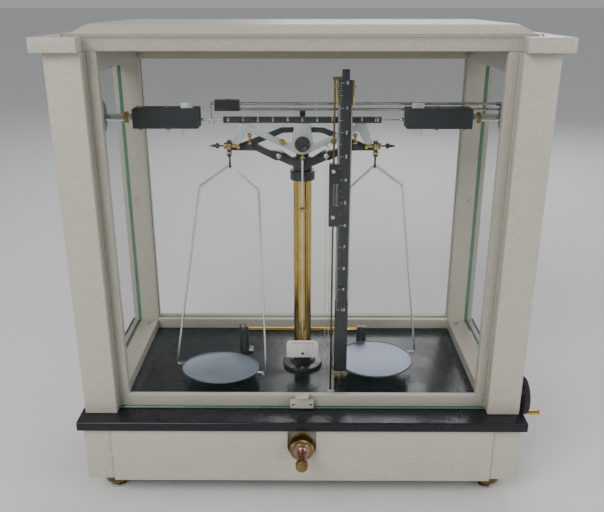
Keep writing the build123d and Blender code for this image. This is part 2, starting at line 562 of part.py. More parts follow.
# side, x, y, top of the pad above the slab
BRAKE_PADS = ((-1, ARM + 10.0, -125.0, 6.6), (1, ARM + 4.0, -116.0, 9.6))
PAD_T = 2.0
with BuildPart() as brake_rocker:
    rod_x(ROCKER_R, -BRAKE_ARM_X - BRAKE_ARM_W, BRAKE_ARM_X + BRAKE_ARM_W, ROCKER_Y, TOP + ROCKER_Z)
    for side, pad_x, pad_y, pad_top in BRAKE_PADS:
        arm_x0 = side * BRAKE_ARM_X
        arm_x1 = side * (BRAKE_ARM_X + BRAKE_ARM_W)
        block(arm_x0, arm_x1, ROCKER_Y - 5, ROCKER_Y + 5, BAR_UNDER, TOP + ROCKER_Z + 5)
        block(arm_x0, arm_x1, pad_y - 3, ROCKER_Y + 5, BAR_UNDER, BAR_UNDER + BRAKE_BAR_T)
        block(arm_x0, side * (pad_x + 3), pad_y - 3, pad_y + 3, BAR_UNDER, BAR_UNDER + BRAKE_BAR_T)
        rod_z(8.0, TOP + pad_top - PAD_T, TOP + pad_top, side * pad_x, pad_y)
        rod_z(2.5, BAR_UNDER, TOP + pad_top - 0.5, side * pad_x, pad_y)
brake_rocker.part.label = "brake_rocker"
export_step(brake_rocker.part, "parts/brake_rocker.step")

# ==== beam ====

V_DROP = 12.3
BEAM_LINE = [  # x, height above the knives
    (0, -V_DROP), (5, -11.7), (11.3, -8.3), (ARM - 20, 12.2), (ARM - 17.5, 10.7), (ARM - 10.7, -1.6),
    (ARM - 3.2, -1.6), (ARM - 10.6, BAR_RISE), (ARM - 21.8, BAR_RISE), (ARM - 22, 17.9),
    (13.5, -0.7), (11.2, 0.7), (8, BAR_RISE), (0, BAR_RISE)]
with BuildPart() as beam_frame:
    for side in (-1, 1):
        front_outline([(side * x, KNIFE + z) for x, z in BEAM_LINE], BEAM_FRONT, BEAM_T)
beam_frame.part.label = "beam_frame"
export_step(beam_frame.part, "parts/beam_frame.step")

NOTCHES = 11
NOTCH_PITCH = 2 * ARM / (NOTCHES - 1)
with BuildPart() as notch_bar:
    block(-BAR_HALF_L, BAR_HALF_L, BEAM_Y - BAR_D / 2, BEAM_Y + BAR_D / 2,
          TOP + BAR_Z + 0.02, TOP + BAR_Z + BAR_H)
    for i in range(NOTCHES):
        with Locations(((i * NOTCH_PITCH - ARM), BEAM_Y, TOP + BAR_Z + BAR_H)):
            Box(1.2, BAR_D + 1, 1.6, rotation=(0, 45, 0), mode=Mode.SUBTRACT)
notch_bar.part.label = "notch_bar"
export_step(notch_bar.part, "parts/notch_bar.step")

KNIFE_BOSS_R = 8.0
with BuildPart() as centre_knife:
    rod_y(KNIFE_BOSS_R, BEAM_FRONT - 7.0, BEAM_FRONT - 0.02, 0, KNIFE - 0.8)
    chamfer(centre_knife.edges().filter_by(GeomType.CIRCLE).group_by(Axis.Y)[0], 1.0)
    front_outline([(0, KNIFE), (3.0, KNIFE + 5), (3.0, KNIFE + 7), (-3.0, KNIFE + 7), (-3.0, KNIFE + 5)],
                  BEAM_BACK + 0.02, 13.5)
centre_knife.part.label = "centre_knife"
export_step(centre_knife.part, "parts/centre_knife.step")

END_TOP = KNIFE - 1.65
END_AXIS = KNIFE - 3.3
END_CAP = ARM + 5.5
with BuildPart() as end_knives:
    for side in (-1, 1):
        block(side * (ARM - 11), side * (ARM + 5), BEAM_FRONT - 0.5, BEAM_BACK - 0.5, END_TOP - 4.45, END_TOP)
        rod_x(3.4, side * (END_CAP - 2.9), side * END_CAP, BEAM_Y, END_AXIS)
        wedge = [(ARM - 1.6, END_TOP - 0.4), (ARM + 1.6, END_TOP - 0.4), (ARM, KNIFE)]
        front_outline([(side * x, z) for x, z in wedge], BEAM_FRONT - 0.5, BEAM_T)
end_knives.part.label = "end_knives"
export_step(end_knives.part, "parts/end_knives.step")

with BuildPart() as poise_screws:
    for side in (-1, 1):
        rod_x(0.9, side * (END_CAP + 0.02), side * (ARM + 19), BEAM_Y, END_AXIS)
        rod_x(3.0, side * (ARM + 10.5), side * (ARM + 14), BEAM_Y, END_AXIS)
        with Locations(Location((side * (ARM + 17.5), BEAM_Y, END_AXIS), (0, side * 90, 0))):
            Cone(1.6, 0.3, 7.0)
poise_screws.part.label = "poise_screws"
export_step(poise_screws.part, "parts/poise_screws.step")

NUT_SPOTS = ((-20.6, 1.8), (32.5, 2.3))  # x, height above the knives
V_BOTTOM = KNIFE_Z - V_DROP
with BuildPart() as balance_nuts:
    for nut_x, nut_z in NUT_SPOTS:
        rod_y(3.2, BEAM_FRONT - 5.0, BEAM_FRONT - 0.02, nut_x, KNIFE + nut_z)
    rod_z(2.6, TOP + V_BOTTOM - 6.0, TOP + V_BOTTOM - 0.05, 0, BEAM_Y)
balance_nuts.part.label = "balance_nuts"
export_step(balance_nuts.part, "parts/balance_nuts.step")

with BuildPart() as damper_vanes:
    for side in (-1, 1):
        block(side * (VANE_X - VANE_W / 2), side * (VANE_X + VANE_W / 2), BEAM_Y - 0.6, BEAM_Y + 0.6,
              TOP + BAR_Z + BAR_H / 2 - VANE_H / 2, TOP + BAR_Z + BAR_H / 2 + VANE_H / 2)
        rod_x(0.9, side * (BAR_HALF_L + 0.02), side * (VANE_X - 2), BEAM_Y, TOP + BAR_Z + BAR_H / 2)
        rod_x(1.9, side * (VANE_X - 17.5), side * (VANE_X - 14.5), BEAM_Y, TOP + BAR_Z + BAR_H / 2)
damper_vanes.part.label = "damper_vanes"
export_step(damper_vanes.part, "parts/damper_vanes.step")

POINTER_TOP = V_BOTTOM - 6.05
with BuildPart() as pointer:
    with Locations((0, BEAM_Y, TOP + (POINTER_TOP + POINTER_END) / 2)):
        Cone(0.5, 1.3, POINTER_TOP - POINTER_END)
    rod_z(3.6, TOP + V_BOTTOM - 61.0, TOP + V_BOTTOM - 58.0, 0, BEAM_Y)
pointer.part.label = "pointer"
export_step(pointer.part, "parts/pointer.step")

# ==== stirrups, bows and pans ====

STIRRUP_TOP = KNIFE + KNIFE_GAP
YOKE_FOOT = KNIFE - 13.8
YOKE_FRONT = BEAM_FRONT - 3.0
YOKE_BACK = BEAM_BACK + 1.6
RING_R = 3.4
RING_WIRE_R = 0.8
APEX_DROP = 0.8  # the bend lowers the bow's wire this far under its corner
RING_CENTRE = TOP + BOW_TOP_Z - APEX_DROP - WIRE_R - RING_WIRE_R - KNIFE_GAP + RING_R
stirrups = {}
for side, name in ((-1, "stirrup_left"), (1, "stirrup_right")):
    with BuildPart() as stirrup:
        block(side * (ARM - 2.6), side * (ARM + 2.0), YOKE_FRONT, YOKE_BACK, STIRRUP_TOP, STIRRUP_TOP + 2.2)
        for leg in (YOKE_FRONT, YOKE_BACK - 1.2):
            block(side * (ARM - 2.0), side * (ARM + 2.0), leg, leg + 1.2, YOKE_FOOT, STIRRUP_TOP + 1)
        block(side * (ARM - 2.0), side * (ARM + 2.0), YOKE_FRONT, YOKE_BACK, YOKE_FOOT, YOKE_FOOT + 3.0)
        rod_z(1.0, RING_CENTRE + RING_R, YOKE_FOOT + 0.5, side * ARM, BEAM_Y)
        with Locations((side * ARM, BEAM_Y, RING_CENTRE)):
            Torus(RING_R, RING_WIRE_R, rotation=(0, 90, 0))
    stirrup.part.label = name
    stirrups[name] = stirrup
export_step(stirrups["stirrup_left"].part, "parts/stirrup_left.step")
export_step(stirrups["stirrup_right"].part, "parts/stirrup_right.step")

APEX_Z = TOP + BOW_TOP_Z
PANS = {  # side, swivel of the bow, sideways and forward lean of its foot, pan height, pan tilt
    "left": (-1, -14.0, -17.0, -15.0, 14.0, -6.0),
    "right": (1, 22.0, 7.0, 0.0, 18.0, 0.0),
}
HOOK_IN = 45.5
EAR_GAP = 0.35
bows = {}
pans = {}
for name, (side, swivel, lean_x, lean_y, pan_z, tilt) in PANS.items():
    along = (cos(radians(swivel)), sin(radians(swivel)))
    foot_z = TOP + pan_z - PAN_T / 2 - WIRE_R - EAR_GAP
    half = [(HOOK_IN, foot_z), (BOW_X, foot_z), (SHOULDER_X, TOP + SHOULDER_Z), (0.0, APEX_Z)]
    outline = [(-r, z) for r, z in half] + [(r, z) for r, z in reversed(half[:-1])]
    route = []
    for r, z in outline:
        lean = (APEX_Z - z) / (APEX_Z - foot_z)
        route.append((side * ARM + r * along[0] + lean * lean_x, BEAM_Y + r * along[1] + lean * lean_y, z))
    with BuildPart() as bow:
        wire(route, WIRE_R, 3.0)
    bow.part.label = "bow_" + name
    bows[name] = bow
    dip = radians(tilt)
    disc = Plane(origin=(side * ARM + lean_x, BEAM_Y + lean_y, TOP + pan_z), x_dir=(along[0], along[1], 0),
                 z_dir=(along[1] * sin(dip), -along[0] * sin(dip), cos(dip)))
    with BuildPart(disc) as pan:
        Cylinder(PAN_R, PAN_T)
        Box(2 * (HOOK_IN + 5.5), 5.0, PAN_T)
        with Locations((0, 0, PAN_T)):
            Cylinder(PAN_R, PAN_T)
            Cylinder(PAN_R - 1.2, PAN_T, mode=Mode.SUBTRACT)
    pan.part.label = "pan_" + name
    pans[name] = pan
export_step(bows["left"].part, "parts/bow_left.step")
export_step(bows["right"].part, "parts/bow_right.step")
export_step(pans["left"].part, "parts/pan_left.step")
export_step(pans["right"].part, "parts/pan_right.step")

# ==== magnetic dampers ====

with BuildPart() as magnet_blocks:
    for side in (-1, 1):
        block(side * MAGNET_IN, side * MAGNET_OUT, BEAM_Y - MAGNET_D / 2, BEAM_Y + MAGNET_D / 2,
              TOP + MAGNET_Z - MAGNET_H / 2, TOP + MAGNET_Z + MAGNET_H / 2)
        block(side * (MAGNET_IN - 1), side * MAGNET_SLOT_END,
              BEAM_Y - MAGNET_SLOT / 2, BEAM_Y + MAGNET_SLOT / 2,
              TOP + MAGNET_Z - MAGNET_H, TOP + MAGNET_Z + MAGNET_H, Mode.SUBTRACT)
        rod_x(SUPPORT_R + 0.02, side * (MAGNET_OUT - 12), side * (MAGNET_OUT + 1), BEAM_Y, TOP + MAGNET_Z,
              Mode.SUBTRACT)
magnet_blocks.part.label = "magnet_blocks"
export_step(magnet_blocks.part, "parts/magnet_blocks.step")

FLANGE_IN = GLASS_X - GLASS_T / 2 - 8.0
with BuildPart() as magnet_supports:
    for side in (-1, 1):
        rod_x(SUPPORT_R, side * (MAGNET_OUT - 11.9), side * (GLASS_X + 6.0), BEAM_Y, TOP + MAGNET_Z)
        rod_x(FLANGE_R, side * FLANGE_IN, side * (FLANGE_IN + 4), BEAM_Y, TOP + MAGNET_Z)
        rod_x(6.5, side * (FLANGE_IN + 3.5), side * (GLASS_X - GLASS_T / 2 - 0.05), BEAM_Y, TOP + MAGNET_Z)
        rod_x(9.0, side * (GLASS_X + GLASS_T / 2 + 0.05), side * (GLASS_X + 6.5), BEAM_Y, TOP + MAGNET_Z)
        rod_x(6.0, side * (MAGNET_OUT + 6), side * (MAGNET_OUT + 10), BEAM_Y, TOP + MAGNET_Z)
magnet_supports.part.label = "magnet_supports"
export_step(magnet_supports.part, "parts/magnet_supports.step")

# ==== rider gear ====

HEAD_LEFT = -ARM - 16.0
HEAD_RIGHT = -ARM + 10.0
ROD_FIT = 0.08
with BuildPart() as rider_head:
    block(HEAD_LEFT, HEAD_RIGHT, RIDER_Y - 5, RIDER_Y + 5, TOP + GUIDE_Z - 1.3, TOP + RIDER_Z + 4)
    rod_x(RIDER_ROD_R + ROD_FIT, HEAD_LEFT - 1, HEAD_RIGHT + 1, RIDER_Y, TOP + RIDER_Z, Mode.SUBTRACT)
    block(HEAD_LEFT - 1, HEAD_RIGHT + 1, RIDER_Y - RIDER_ROD_R - 0.05, RIDER_Y + RIDER_ROD_R + 0.05,
          TOP + GUIDE_Z - 2, TOP + GUIDE_Z + RIDER_ROD_R + 0.05, Mode.SUBTRACT)
rider_head.part.label = "rider_head"
export_step(rider_head.part, "parts/rider_head.step")

GUIDE_END = CASE_HALF_W + 4.5
with BuildPart() as rider_guide_rod:
    rod_x(RIDER_ROD_R, HEAD_LEFT, GUIDE_END, RIDER_Y, TOP + GUIDE_Z)
rider_guide_rod.part.label = "rider_guide_rod"
export_step(rider_guide_rod.part, "parts/rider_guide_rod.step")

RING_Z = BAR_Z - 1.0
RING_Y = RIDER_Y - 7.0
RIDER_KNOB = CASE_HALF_W + 12.5
with BuildPart() as rider_rod:
    rod_x(RIDER_ROD_R, HEAD_LEFT - 4.0, RIDER_KNOB + 6.0, RIDER_Y, TOP + RIDER_Z)
    rod_x(6.5, RIDER_KNOB, RIDER_KNOB + 14.0, RIDER_Y, TOP + RIDER_Z)
    block(HEAD_LEFT - 4.0, HEAD_LEFT - 2.0, RING_Y - 1, RIDER_Y, TOP + RIDER_Z - 1, TOP + RIDER_Z + 1)
    block(HEAD_LEFT - 4.0, HEAD_LEFT - 2.0, RING_Y - 1, RING_Y + 1, TOP + RING_Z + 2.6, TOP + RIDER_Z + 1)
    with Locations((HEAD_LEFT - 3.0, RING_Y, TOP + RING_Z)):
        Torus(2.8, 0.7, rotation=(90, 0, 0))
rider_rod.part.label = "rider_rod"
export_step(rider_rod.part, "parts/rider_rod.step")

# ==== reading column, slider and chain ====

with BuildPart() as scale_column:
    block(SCALE_X - SCALE_W / 2, SCALE_X + SCALE_W / 2, SCALE_Y - SCALE_D / 2, SCALE_Y + SCALE_D / 2,
          TOP + SCALE_BOTTOM, TOP + SCALE_TOP)
    block(SCALE_X - 3.6, SCALE_X + 3.6, SCALE_Y - SCALE_D / 2, SCALE_Y + SCALE_D / 2,
          TOP + SCALE_TOP - 1, TOP + SCALE_TOP + 10)
scale_column.part.label = "scale_column"
export_step(scale_column.part, "parts/scale_column.step")

STRIP_T = 1.6
with BuildPart() as scale_brass:
    for x in (SCALE_X - SCALE_W / 2 - STRIP_T - 0.05, SCALE_X + SCALE_W / 2 + 0.05):
        block(x, x + STRIP_T, SCALE_Y - SCALE_D / 2, SCALE_Y + SCALE_D / 2,
              TOP + SCALE_TOP - 24, TOP + SCALE_TOP)
    for x in (SCALE_X - 4.5, SCALE_X + 4.5):
        block(x - 2, x + 2, SCALE_Y - 2.5, SCALE_Y + 2.5, TOP, TOP + SCALE_BOTTOM - 0.05)
    rod_z(GUIDE_R, TOP, TOP + SCALE_TOP - 2, GUIDE_X, SCALE_Y)
    block(GUIDE_X - 2.0, SCALE_X - 3.6, SCALE_Y - 2.5, SCALE_Y + 2.5,
          TOP + SCALE_TOP + 0.1, TOP + SCALE_TOP + 3)
    rod_z(GUIDE_R, TOP + SCALE_TOP - 2.1, TOP + SCALE_TOP + 1, GUIDE_X, SCALE_Y)
scale_brass.part.label = "scale_brass"
export_step(scale_brass.part, "parts/scale_brass.step")

SLIDER_RIGHT = SCALE_X - SCALE_W / 2 - STRIP_T - 0.4
with BuildPart() as vernier_slider:
    block(GUIDE_X - 4.6, SLIDER_RIGHT, SCALE_Y - SCALE_D / 2 - 2.0, SCALE_Y + 3.0,
          TOP + SLIDER_BOTTOM, TOP + SLIDER_BOTTOM + SLIDER_H)
    block(GUIDE_X - 4.6, SCALE_X - 4.0, SCALE_Y - SCALE_D / 2 - 2.0, SCALE_Y - SCALE_D / 2 - 0.4,
          TOP + SLIDER_BOTTOM, TOP + SLIDER_BOTTOM + SLIDER_H)
    rod_z(GUIDE_R + 0.1, TOP + SLIDER_BOTTOM - 1, TOP + SLIDER_BOTTOM + SLIDER_H + 1, GUIDE_X, SCALE_Y,
          Mode.SUBTRACT)
vernier_slider.part.label = "vernier_slider"
export_step(vernier_slider.part, "parts/vernier_slider.step")

CHAIN_ROUTE = [(25.0, -125.0, 262.0), (25.0, -125.0, 208.0), (25.2, -125.2, 150.0), (25.0, -125.0, 92.0),
               (25.3, -125.4, 44.0), (26.0, -131.0, 16.0), (27.4, -141.0, 16.0), (28.2, -146.6, 44.0),
               (28.6, -147.0, 92.0), (28.7, -146.9, 140.0), (28.9, -147.0, 189.9)]
with BuildPart() as chain:
    with BuildLine() as chain_path:
        chain_points = [(x, y, TOP + z) for x, y, z in CHAIN_ROUTE]
        radii = []
        for a, b, c in zip(chain_points, chain_points[1:], chain_points[2:]):
            turn = (Vector(b) - Vector(a)).get_angle(Vector(c) - Vector(b))
            run = min((Vector(b) - Vector(a)).length, (Vector(c) - Vector(b)).length)
            radii.append(0.45 * run / tan(radians(turn) / 2))
        FilletPolyline(*chain_points, radius=radii)
    with BuildSketch(Plane(origin=chain_path.line @ 0, z_dir=chain_path.line % 0)):
        Circle(CHAIN_R)
    sweep(path=chain_path.line)
CHAIN_LENGTH = sum(edge.length for edge in chain_path.line.edges())
print("chain arcs", [round(r, 1) for r in radii], "length", round(CHAIN_LENGTH, 1))
print("chain volume over section", round(chain.part.volume / (pi * CHAIN_R**2), 1))
chain.part.label = "chain"
export_step(chain.part, "parts/chain.step")

# ==== drive for the slider ====

WHEEL_IN = CROWN_HALF_W - 1.0
WHEEL_OUT = WHEEL_IN + 6.8
with BuildPart() as hand_wheel:
    rod_x(WHEEL_R, WHEEL_IN, WHEEL_OUT, DRIVE_Y, TOP + DRIVE_Z)
    chamfer(hand_wheel.edges().filter_by(GeomType.CIRCLE), 1.2)
    rod_x(1.6, WHEEL_OUT - 3.0, WHEEL_OUT + 14.5, DRIVE_Y - 10.0, TOP + DRIVE_Z - 15.0)
    rod_x(DRIVE_R - 0.02, WHEEL_IN - 1, WHEEL_OUT - 2, DRIVE_Y, TOP + DRIVE_Z, Mode.SUBTRACT)
hand_wheel.part.label = "hand_wheel"
export_step(hand_wheel.part, "parts/hand_wheel.step")

DRUM_R = 5.0
with BuildPart() as drive_shaft:
    rod_x(DRIVE_R - 0.04, GUIDE_X - 8.0, WHEEL_OUT - 2.1, DRIVE_Y, TOP + DRIVE_Z)
    rod_x(DRUM_R, GUIDE_X - 4.0, GUIDE_X + 4.0, DRIVE_Y, TOP + DRIVE_Z)
drive_shaft.part.label = "drive_shaft"
export_step(drive_shaft.part, "parts/drive_shaft.step")

# ==== levelling feet ====

NUT_TOP = CASE_BOTTOM + 25.0  # the nut's shank turns in the casing's corner block
STUD_TOP = CASE_BOTTOM - 3.0
NUT_LIFT = 4.5  # room for the pad to screw up under the knurled nut
foot_nuts = {}
foot_pads = {}
for side, name in ((-1, "left"), (1, "right")):
    with BuildPart() as foot_nut:
        rod_z(FOOT_R, PAD_H + NUT_LIFT, PAD_H + NUT_LIFT + 9.0, side * FOOT_X, FOOT_Y)
        chamfer(foot_nut.edges().filter_by(GeomType.CIRCLE), 1.2)
        rod_z(6.5, PAD_H + NUT_LIFT + 8.5, CASE_BOTTOM - 0.2, side * FOOT_X, FOOT_Y)
        rod_z(SHAFT_R, CASE_BOTTOM - 1.0, NUT_TOP, side * FOOT_X, FOOT_Y)
        rod_z(STUD_R + RUN_FIT, 0, NUT_TOP - 8.0, side * FOOT_X, FOOT_Y, Mode.SUBTRACT)
    foot_nut.part.label = "foot_nut_" + name
    foot_nuts[name] = foot_nut
    with BuildPart() as foot_pad:
        rod_z(PAD_R, 0, PAD_H, side * FOOT_X, FOOT_Y)
        rod_z(STUD_R, PAD_H - 0.5, STUD_TOP, side * FOOT_X, FOOT_Y)
    foot_pad.part.label = "foot_pad_" + name
    foot_pads[name] = foot_pad
export_step(foot_nuts["left"].part, "parts/foot_nut_left.step")
export_step(foot_nuts["right"].part, "parts/foot_nut_right.step")
export_step(foot_pads["left"].part, "parts/foot_pad_left.step")
export_step(foot_pads["right"].part, "parts/foot_pad_right.step")

# ==== small screws ====

SCREW_R = 2.4
with BuildPart() as small_screws:
    for side in (-1, 1):
        for z in (176.0, 352.0):
            rod_y(SCREW_R, REAR_FACE - 1.2, REAR_FACE + 4.0, side * (GLASS_X - 8.0), TOP + z)
        rod_z(SCREW_R, WINDOW_BOTTOM - 4.0, WINDOW_BOTTOM + 1.2, side * (GLASS_X - 14.5), REAR_FACE - 12.0)
        for x in (MAGNET_OUT - 34.5, MAGNET_OUT - 6.1):
            for level, way in ((MAGNET_Z + MAGNET_H / 2, 1), (MAGNET_Z - MAGNET_H / 2, -1)):
                rod_z(2.6, TOP + level - way * 3.0, TOP + level + way * 2.6, side * x, BEAM_Y - 4.0)
small_screws.part.label = "small_screws"
export_step(small_screws.part, "parts/small_screws.step")
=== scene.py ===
from math import cos, pi, radians, sin

import bmesh
import bpy
from mathutils import Euler, Matrix, Vector


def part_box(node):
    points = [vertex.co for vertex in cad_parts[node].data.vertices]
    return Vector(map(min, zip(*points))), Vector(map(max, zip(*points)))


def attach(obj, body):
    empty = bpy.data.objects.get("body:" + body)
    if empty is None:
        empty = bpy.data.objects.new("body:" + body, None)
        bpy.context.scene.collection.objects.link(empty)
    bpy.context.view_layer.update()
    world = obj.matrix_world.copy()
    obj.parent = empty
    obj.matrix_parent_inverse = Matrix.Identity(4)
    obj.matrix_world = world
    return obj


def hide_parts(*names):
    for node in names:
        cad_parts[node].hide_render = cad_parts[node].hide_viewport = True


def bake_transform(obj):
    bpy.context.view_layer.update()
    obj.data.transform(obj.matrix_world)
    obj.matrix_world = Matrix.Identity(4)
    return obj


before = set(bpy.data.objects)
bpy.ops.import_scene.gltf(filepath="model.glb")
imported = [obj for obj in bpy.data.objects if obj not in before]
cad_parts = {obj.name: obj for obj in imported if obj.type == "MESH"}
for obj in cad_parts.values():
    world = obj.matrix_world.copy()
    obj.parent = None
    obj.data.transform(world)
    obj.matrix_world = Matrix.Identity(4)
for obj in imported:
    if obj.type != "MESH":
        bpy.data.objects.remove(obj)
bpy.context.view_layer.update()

MM = 0.001


# ---- Table, light and view ----
# The balance stands on a plain pale table under soft studio light, seen from
# the front and a little above.
class Socket:
    """A shader socket in a sum: an expression on it adds its Math nodes."""

    def __init__(self, finish, link):
        self.finish = finish
        self.link = link

    def _math(self, operation, first, second):
        return self.finish.node("ShaderNodeMath", {"operation": operation}, {0: first, 1: second})

    def __add__(self, other):
        return self._math("ADD", self, other)

    def __sub__(self, other):
        return self._math("SUBTRACT", self, other)

    def __rsub__(self, other):
        return self._math("SUBTRACT", other, self)

    def __mul__(self, other):
        return self._math("MULTIPLY", self, other)

    def __truediv__(self, other):
        return self._math("DIVIDE", self, other)

    def __pow__(self, other):
        return self._math("POWER", self, other)

    __radd__ = __add__
    __rmul__ = __mul__


class Finish:
    """A material in the making, round one Principled shader."""

    def __init__(self, name, **sockets):
        self.material = bpy.data.materials.new(name)
        self.material.use_nodes = True
        self.tree = self.material.node_tree
        self.shader = self.tree.nodes["Principled BSDF"]
        self.place = self.node("ShaderNodeTexCoord", out="Object")
        self.set(**sockets)

    def node(self, kind, settings=None, inputs=None, out=0):
        made = self.tree.nodes.new(kind)
        for key, value in (settings or {}).items():
            if key == "stops":
                ramp = made.color_ramp
                while len(ramp.elements) < len(value):
                    ramp.elements.new(0.5)
                for element, (where, colour) in zip(ramp.elements, value):
                    element.position = where
                    element.color = (*colour, 1) if len(colour) == 3 else colour
            else:
                setattr(made, key, value)
        for key, value in (inputs or {}).items():
            self.feed(made.inputs[key], value)
        return Socket(self, made.outputs[out])

    def feed(self, socket, value):
        if isinstance(value, Socket):
            self.tree.links.new(value.link, socket)
        elif hasattr(value, "__len__") and len(value) == 3 and socket.type == "RGBA":
            socket.default_value = (*value, 1)
        else:
            socket.default_value = value

    def set(self, **sockets):
        for name, value in sockets.items():
            self.feed(self.shader.inputs[name.replace("_", " ")], value)
        return self

    def stretched(self, x, y, z):
        return self.node("ShaderNodeMapping", {}, {"Vector": self.place, "Scale": (x, y, z)})

    def noise(self, scale, detail=3.0, rough=0.55, at=None):
        return self.node("ShaderNodeTexNoise", {},
                         {"Vector": at or self.place, "Scale": scale, "Detail": detail, "Roughness": rough})

    def cells(self, scale, at=None, feature="F1", out="Distance", smooth=None):
        settings = {"feature": feature}
        inputs = {"Vector": at or self.place, "Scale": scale}
        if smooth is not None:
            inputs["Smoothness"] = smooth
        return self.node("ShaderNodeTexVoronoi", settings, inputs, out)

    def spread(self, value, low, high, to_low=0.0, to_high=1.0):
        return self.node("ShaderNodeMapRange", {"clamp": True},
                         {"Value": value, "From Min": low, "From Max": high,
                          "To Min": to_low, "To Max": to_high})

    def blend(self, factor, first, second):
        return self.node("ShaderNodeMix", {"data_type": "RGBA"}, {0: factor, 6: first, 7: second}, out=2)

    def bump(self, height, depth, strength=1.0):
        bumped = self.node("ShaderNodeBump", {}, {"Height": height, "Distance": depth, "Strength": strength})
        self.feed(self.shader.inputs["Normal"], bumped)


table_cloth = Finish("table_top", Roughness=0.9)
fibre = table_cloth.noise(60.0, 4.0)
table_cloth.set(Base_Color=table_cloth.blend(fibre, (0.74, 0.74, 0.73), (0.80, 0.80, 0.79)))
sweep = bmesh.new()
bmesh.ops.create_grid(sweep, x_segments=1, y_segments=1, size=1.0)
bmesh.ops.scale(sweep, vec=(60.0, 60.0, 1.0), verts=sweep.verts)
bmesh.ops.translate(sweep, vec=(0, 0, -0.0002), verts=sweep.verts)
sweep_mesh = bpy.data.meshes.new("table_top")
sweep.to_mesh(sweep_mesh)
sweep.free()
sweep_mesh.materials.append(table_cloth.material)
table_top = bpy.data.objects.new("table_top", sweep_mesh)
bpy.context.collection.objects.link(table_top)

room = bpy.data.worlds.new("room")
room.use_nodes = True
room.node_tree.nodes["Background"].inputs["Color"].default_value = (0.86, 0.88, 0.90, 1)
room.node_tree.nodes["Background"].inputs["Strength"].default_value = 0.42
bpy.context.scene.world = room
LAMPS = (
    ("key", (-0.9, -1.5, 1.5), (0, -0.1, 0.25), 1.1, 27.0),
    ("fill", (1.5, -1.1, 0.9), (0, -0.1, 0.25), 1.2, 10.0),
    ("back", (0.4, 1.6, 1.4), (0, 0, 0.3), 1.2, 16.0),
)
for name, spot, target, width, power in LAMPS:
    lamp_data = bpy.data.lights.new(name, "AREA")
    lamp_data.size = width
    lamp_data.energy = power
    lamp = bpy.data.objects.new(name, lamp_data)
    lamp.location = spot
    lamp.rotation_euler = (Vector(target) - Vector(spot)).to_track_quat("-Z", "Y").to_euler()
    bpy.context.collection.objects.link(lamp)

camera_data = bpy.data.cameras.new("camera")
camera_data.sensor_width = 36.0
camera_data.lens = 41.72781
camera_data.shift_y = 0.0019702
camera_data.clip_start = 0.01
camera = bpy.data.objects.new("camera", camera_data)
camera.location = (0.0037, -0.8388, 0.5040)
camera.rotation_euler = (radians(90 - 20.076), 0, radians(0.328))
bpy.context.collection.objects.link(camera)
bpy.context.scene.camera = camera


# ---- Painted casing ----
# The casing, posts, crown, lid and glazing frames are steel and cast alloy in
# a cream-grey hammered enamel; every edge is broken by the thickness of paint.
class Piece:
    """One visible piece: shapes are added to it, then it is laid on its body."""

    def __init__(self, name, *finishes):
        self.name = name
        self.finishes = finishes
        self.mesh = bmesh.new()

    def add(self, shape, finish=None):
        if finish is not None:
            for face in shape.faces:
                face.material_index = finish
        carrier = bpy.data.meshes.new("carrier")
        shape.to_mesh(carrier)
        shape.free()
        self.mesh.from_mesh(carrier)
        bpy.data.meshes.remove(carrier)
        return self

    def done(self, body, replaces=(), angle=32.0, slot=None):
        mesh = bpy.data.meshes.new(self.name)
        self.mesh.to_mesh(mesh)
        self.mesh.free()
        for finish in self.finishes:
            mesh.materials.append(finish.material)
        mesh.shade_smooth()
        mesh.set_sharp_from_angle(angle=radians(angle))
        made = bpy.data.objects.new(self.name, mesh)
        bpy.context.collection.objects.link(made)
        if body:
            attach(made, body)
        if replaces:
            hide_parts(*replaces)
        return made


def cad_shape(node, flat=True):
    """A merged copy of a CAD node's mesh, its flat faces made whole again."""
    shape = bmesh.new()
    shape.from_mesh(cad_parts[node].data)
    bmesh.ops.remove_doubles(shape, verts=shape.verts, dist=1e-6)
    if flat:
        bmesh.ops.dissolve_limit(shape, angle_limit=radians(0.6), verts=shape.verts, edges=shape.edges)
    for face in shape.faces:
        face.material_index = 0
    return shape


def softened(shape, width, segments=3, over=40.0):
    """Round every edge of a shape that turns by more than so many degrees."""
    sharp = [e for e in shape.edges if e.is_manifold and e.calc_face_angle(0) > radians(over)]
    bmesh.ops.bevel(shape, geom=sharp, offset=width * MM, offset_type="OFFSET", segments=segments,
                    profile=0.5, affect="EDGES", clamp_overlap=True, material=-1)
    bmesh.ops.remove_doubles(shape, verts=shape.verts, dist=2e-6)
    return shape


enamel = Finish("cream_enamel", Metallic=0.0, Specular_IOR_Level=0.5, Coat_Weight=0.25, Coat_Roughness=0.25)
dimple = enamel.cells(430.0, at=enamel.place, feature="SMOOTH_F1", smooth=0.6)
ripple = enamel.noise(900.0, 2.0)
drift = enamel.noise(7.0, 3.0)
grime = enamel.spread(enamel.noise(38.0, 5.0, 0.65), 0.52, 0.78)
tone = enamel.blend(drift, (0.430, 0.400, 0.325), (0.500, 0.465, 0.385))
tone = enamel.blend(enamel.spread(dimple, 0.1, 0.75, 0.0, 0.42), tone, (0.64, 0.60, 0.51))
tone = enamel.blend(grime * 0.18, tone, (0.36, 0.33, 0.27))
enamel.set(Base_Color=tone, Roughness=enamel.spread(drift, 0.3, 0.7, 0.36, 0.46))
enamel.bump(dimple * 0.8 + ripple * 0.2, 0.00045, 0.9)

PAINTED = {
    "lower_case": 0.9, "front_cover": 0.8, "inner_front_plate": 0.4, "front_posts": 1.1, "crown_plate": 1.0,
    "roof_lid": 1.6, "front_frame": 0.7, "side_frames": 0.7, "rear_frame": 0.8,
}
for node, width in PAINTED.items():
    over = 15.0 if node == "roof_lid" else 40.0
    painted = Piece("enamelled_" + node, enamel)
    painted.add(softened(cad_shape(node), width, 3, over), 0)
    painted.done("root", [node])


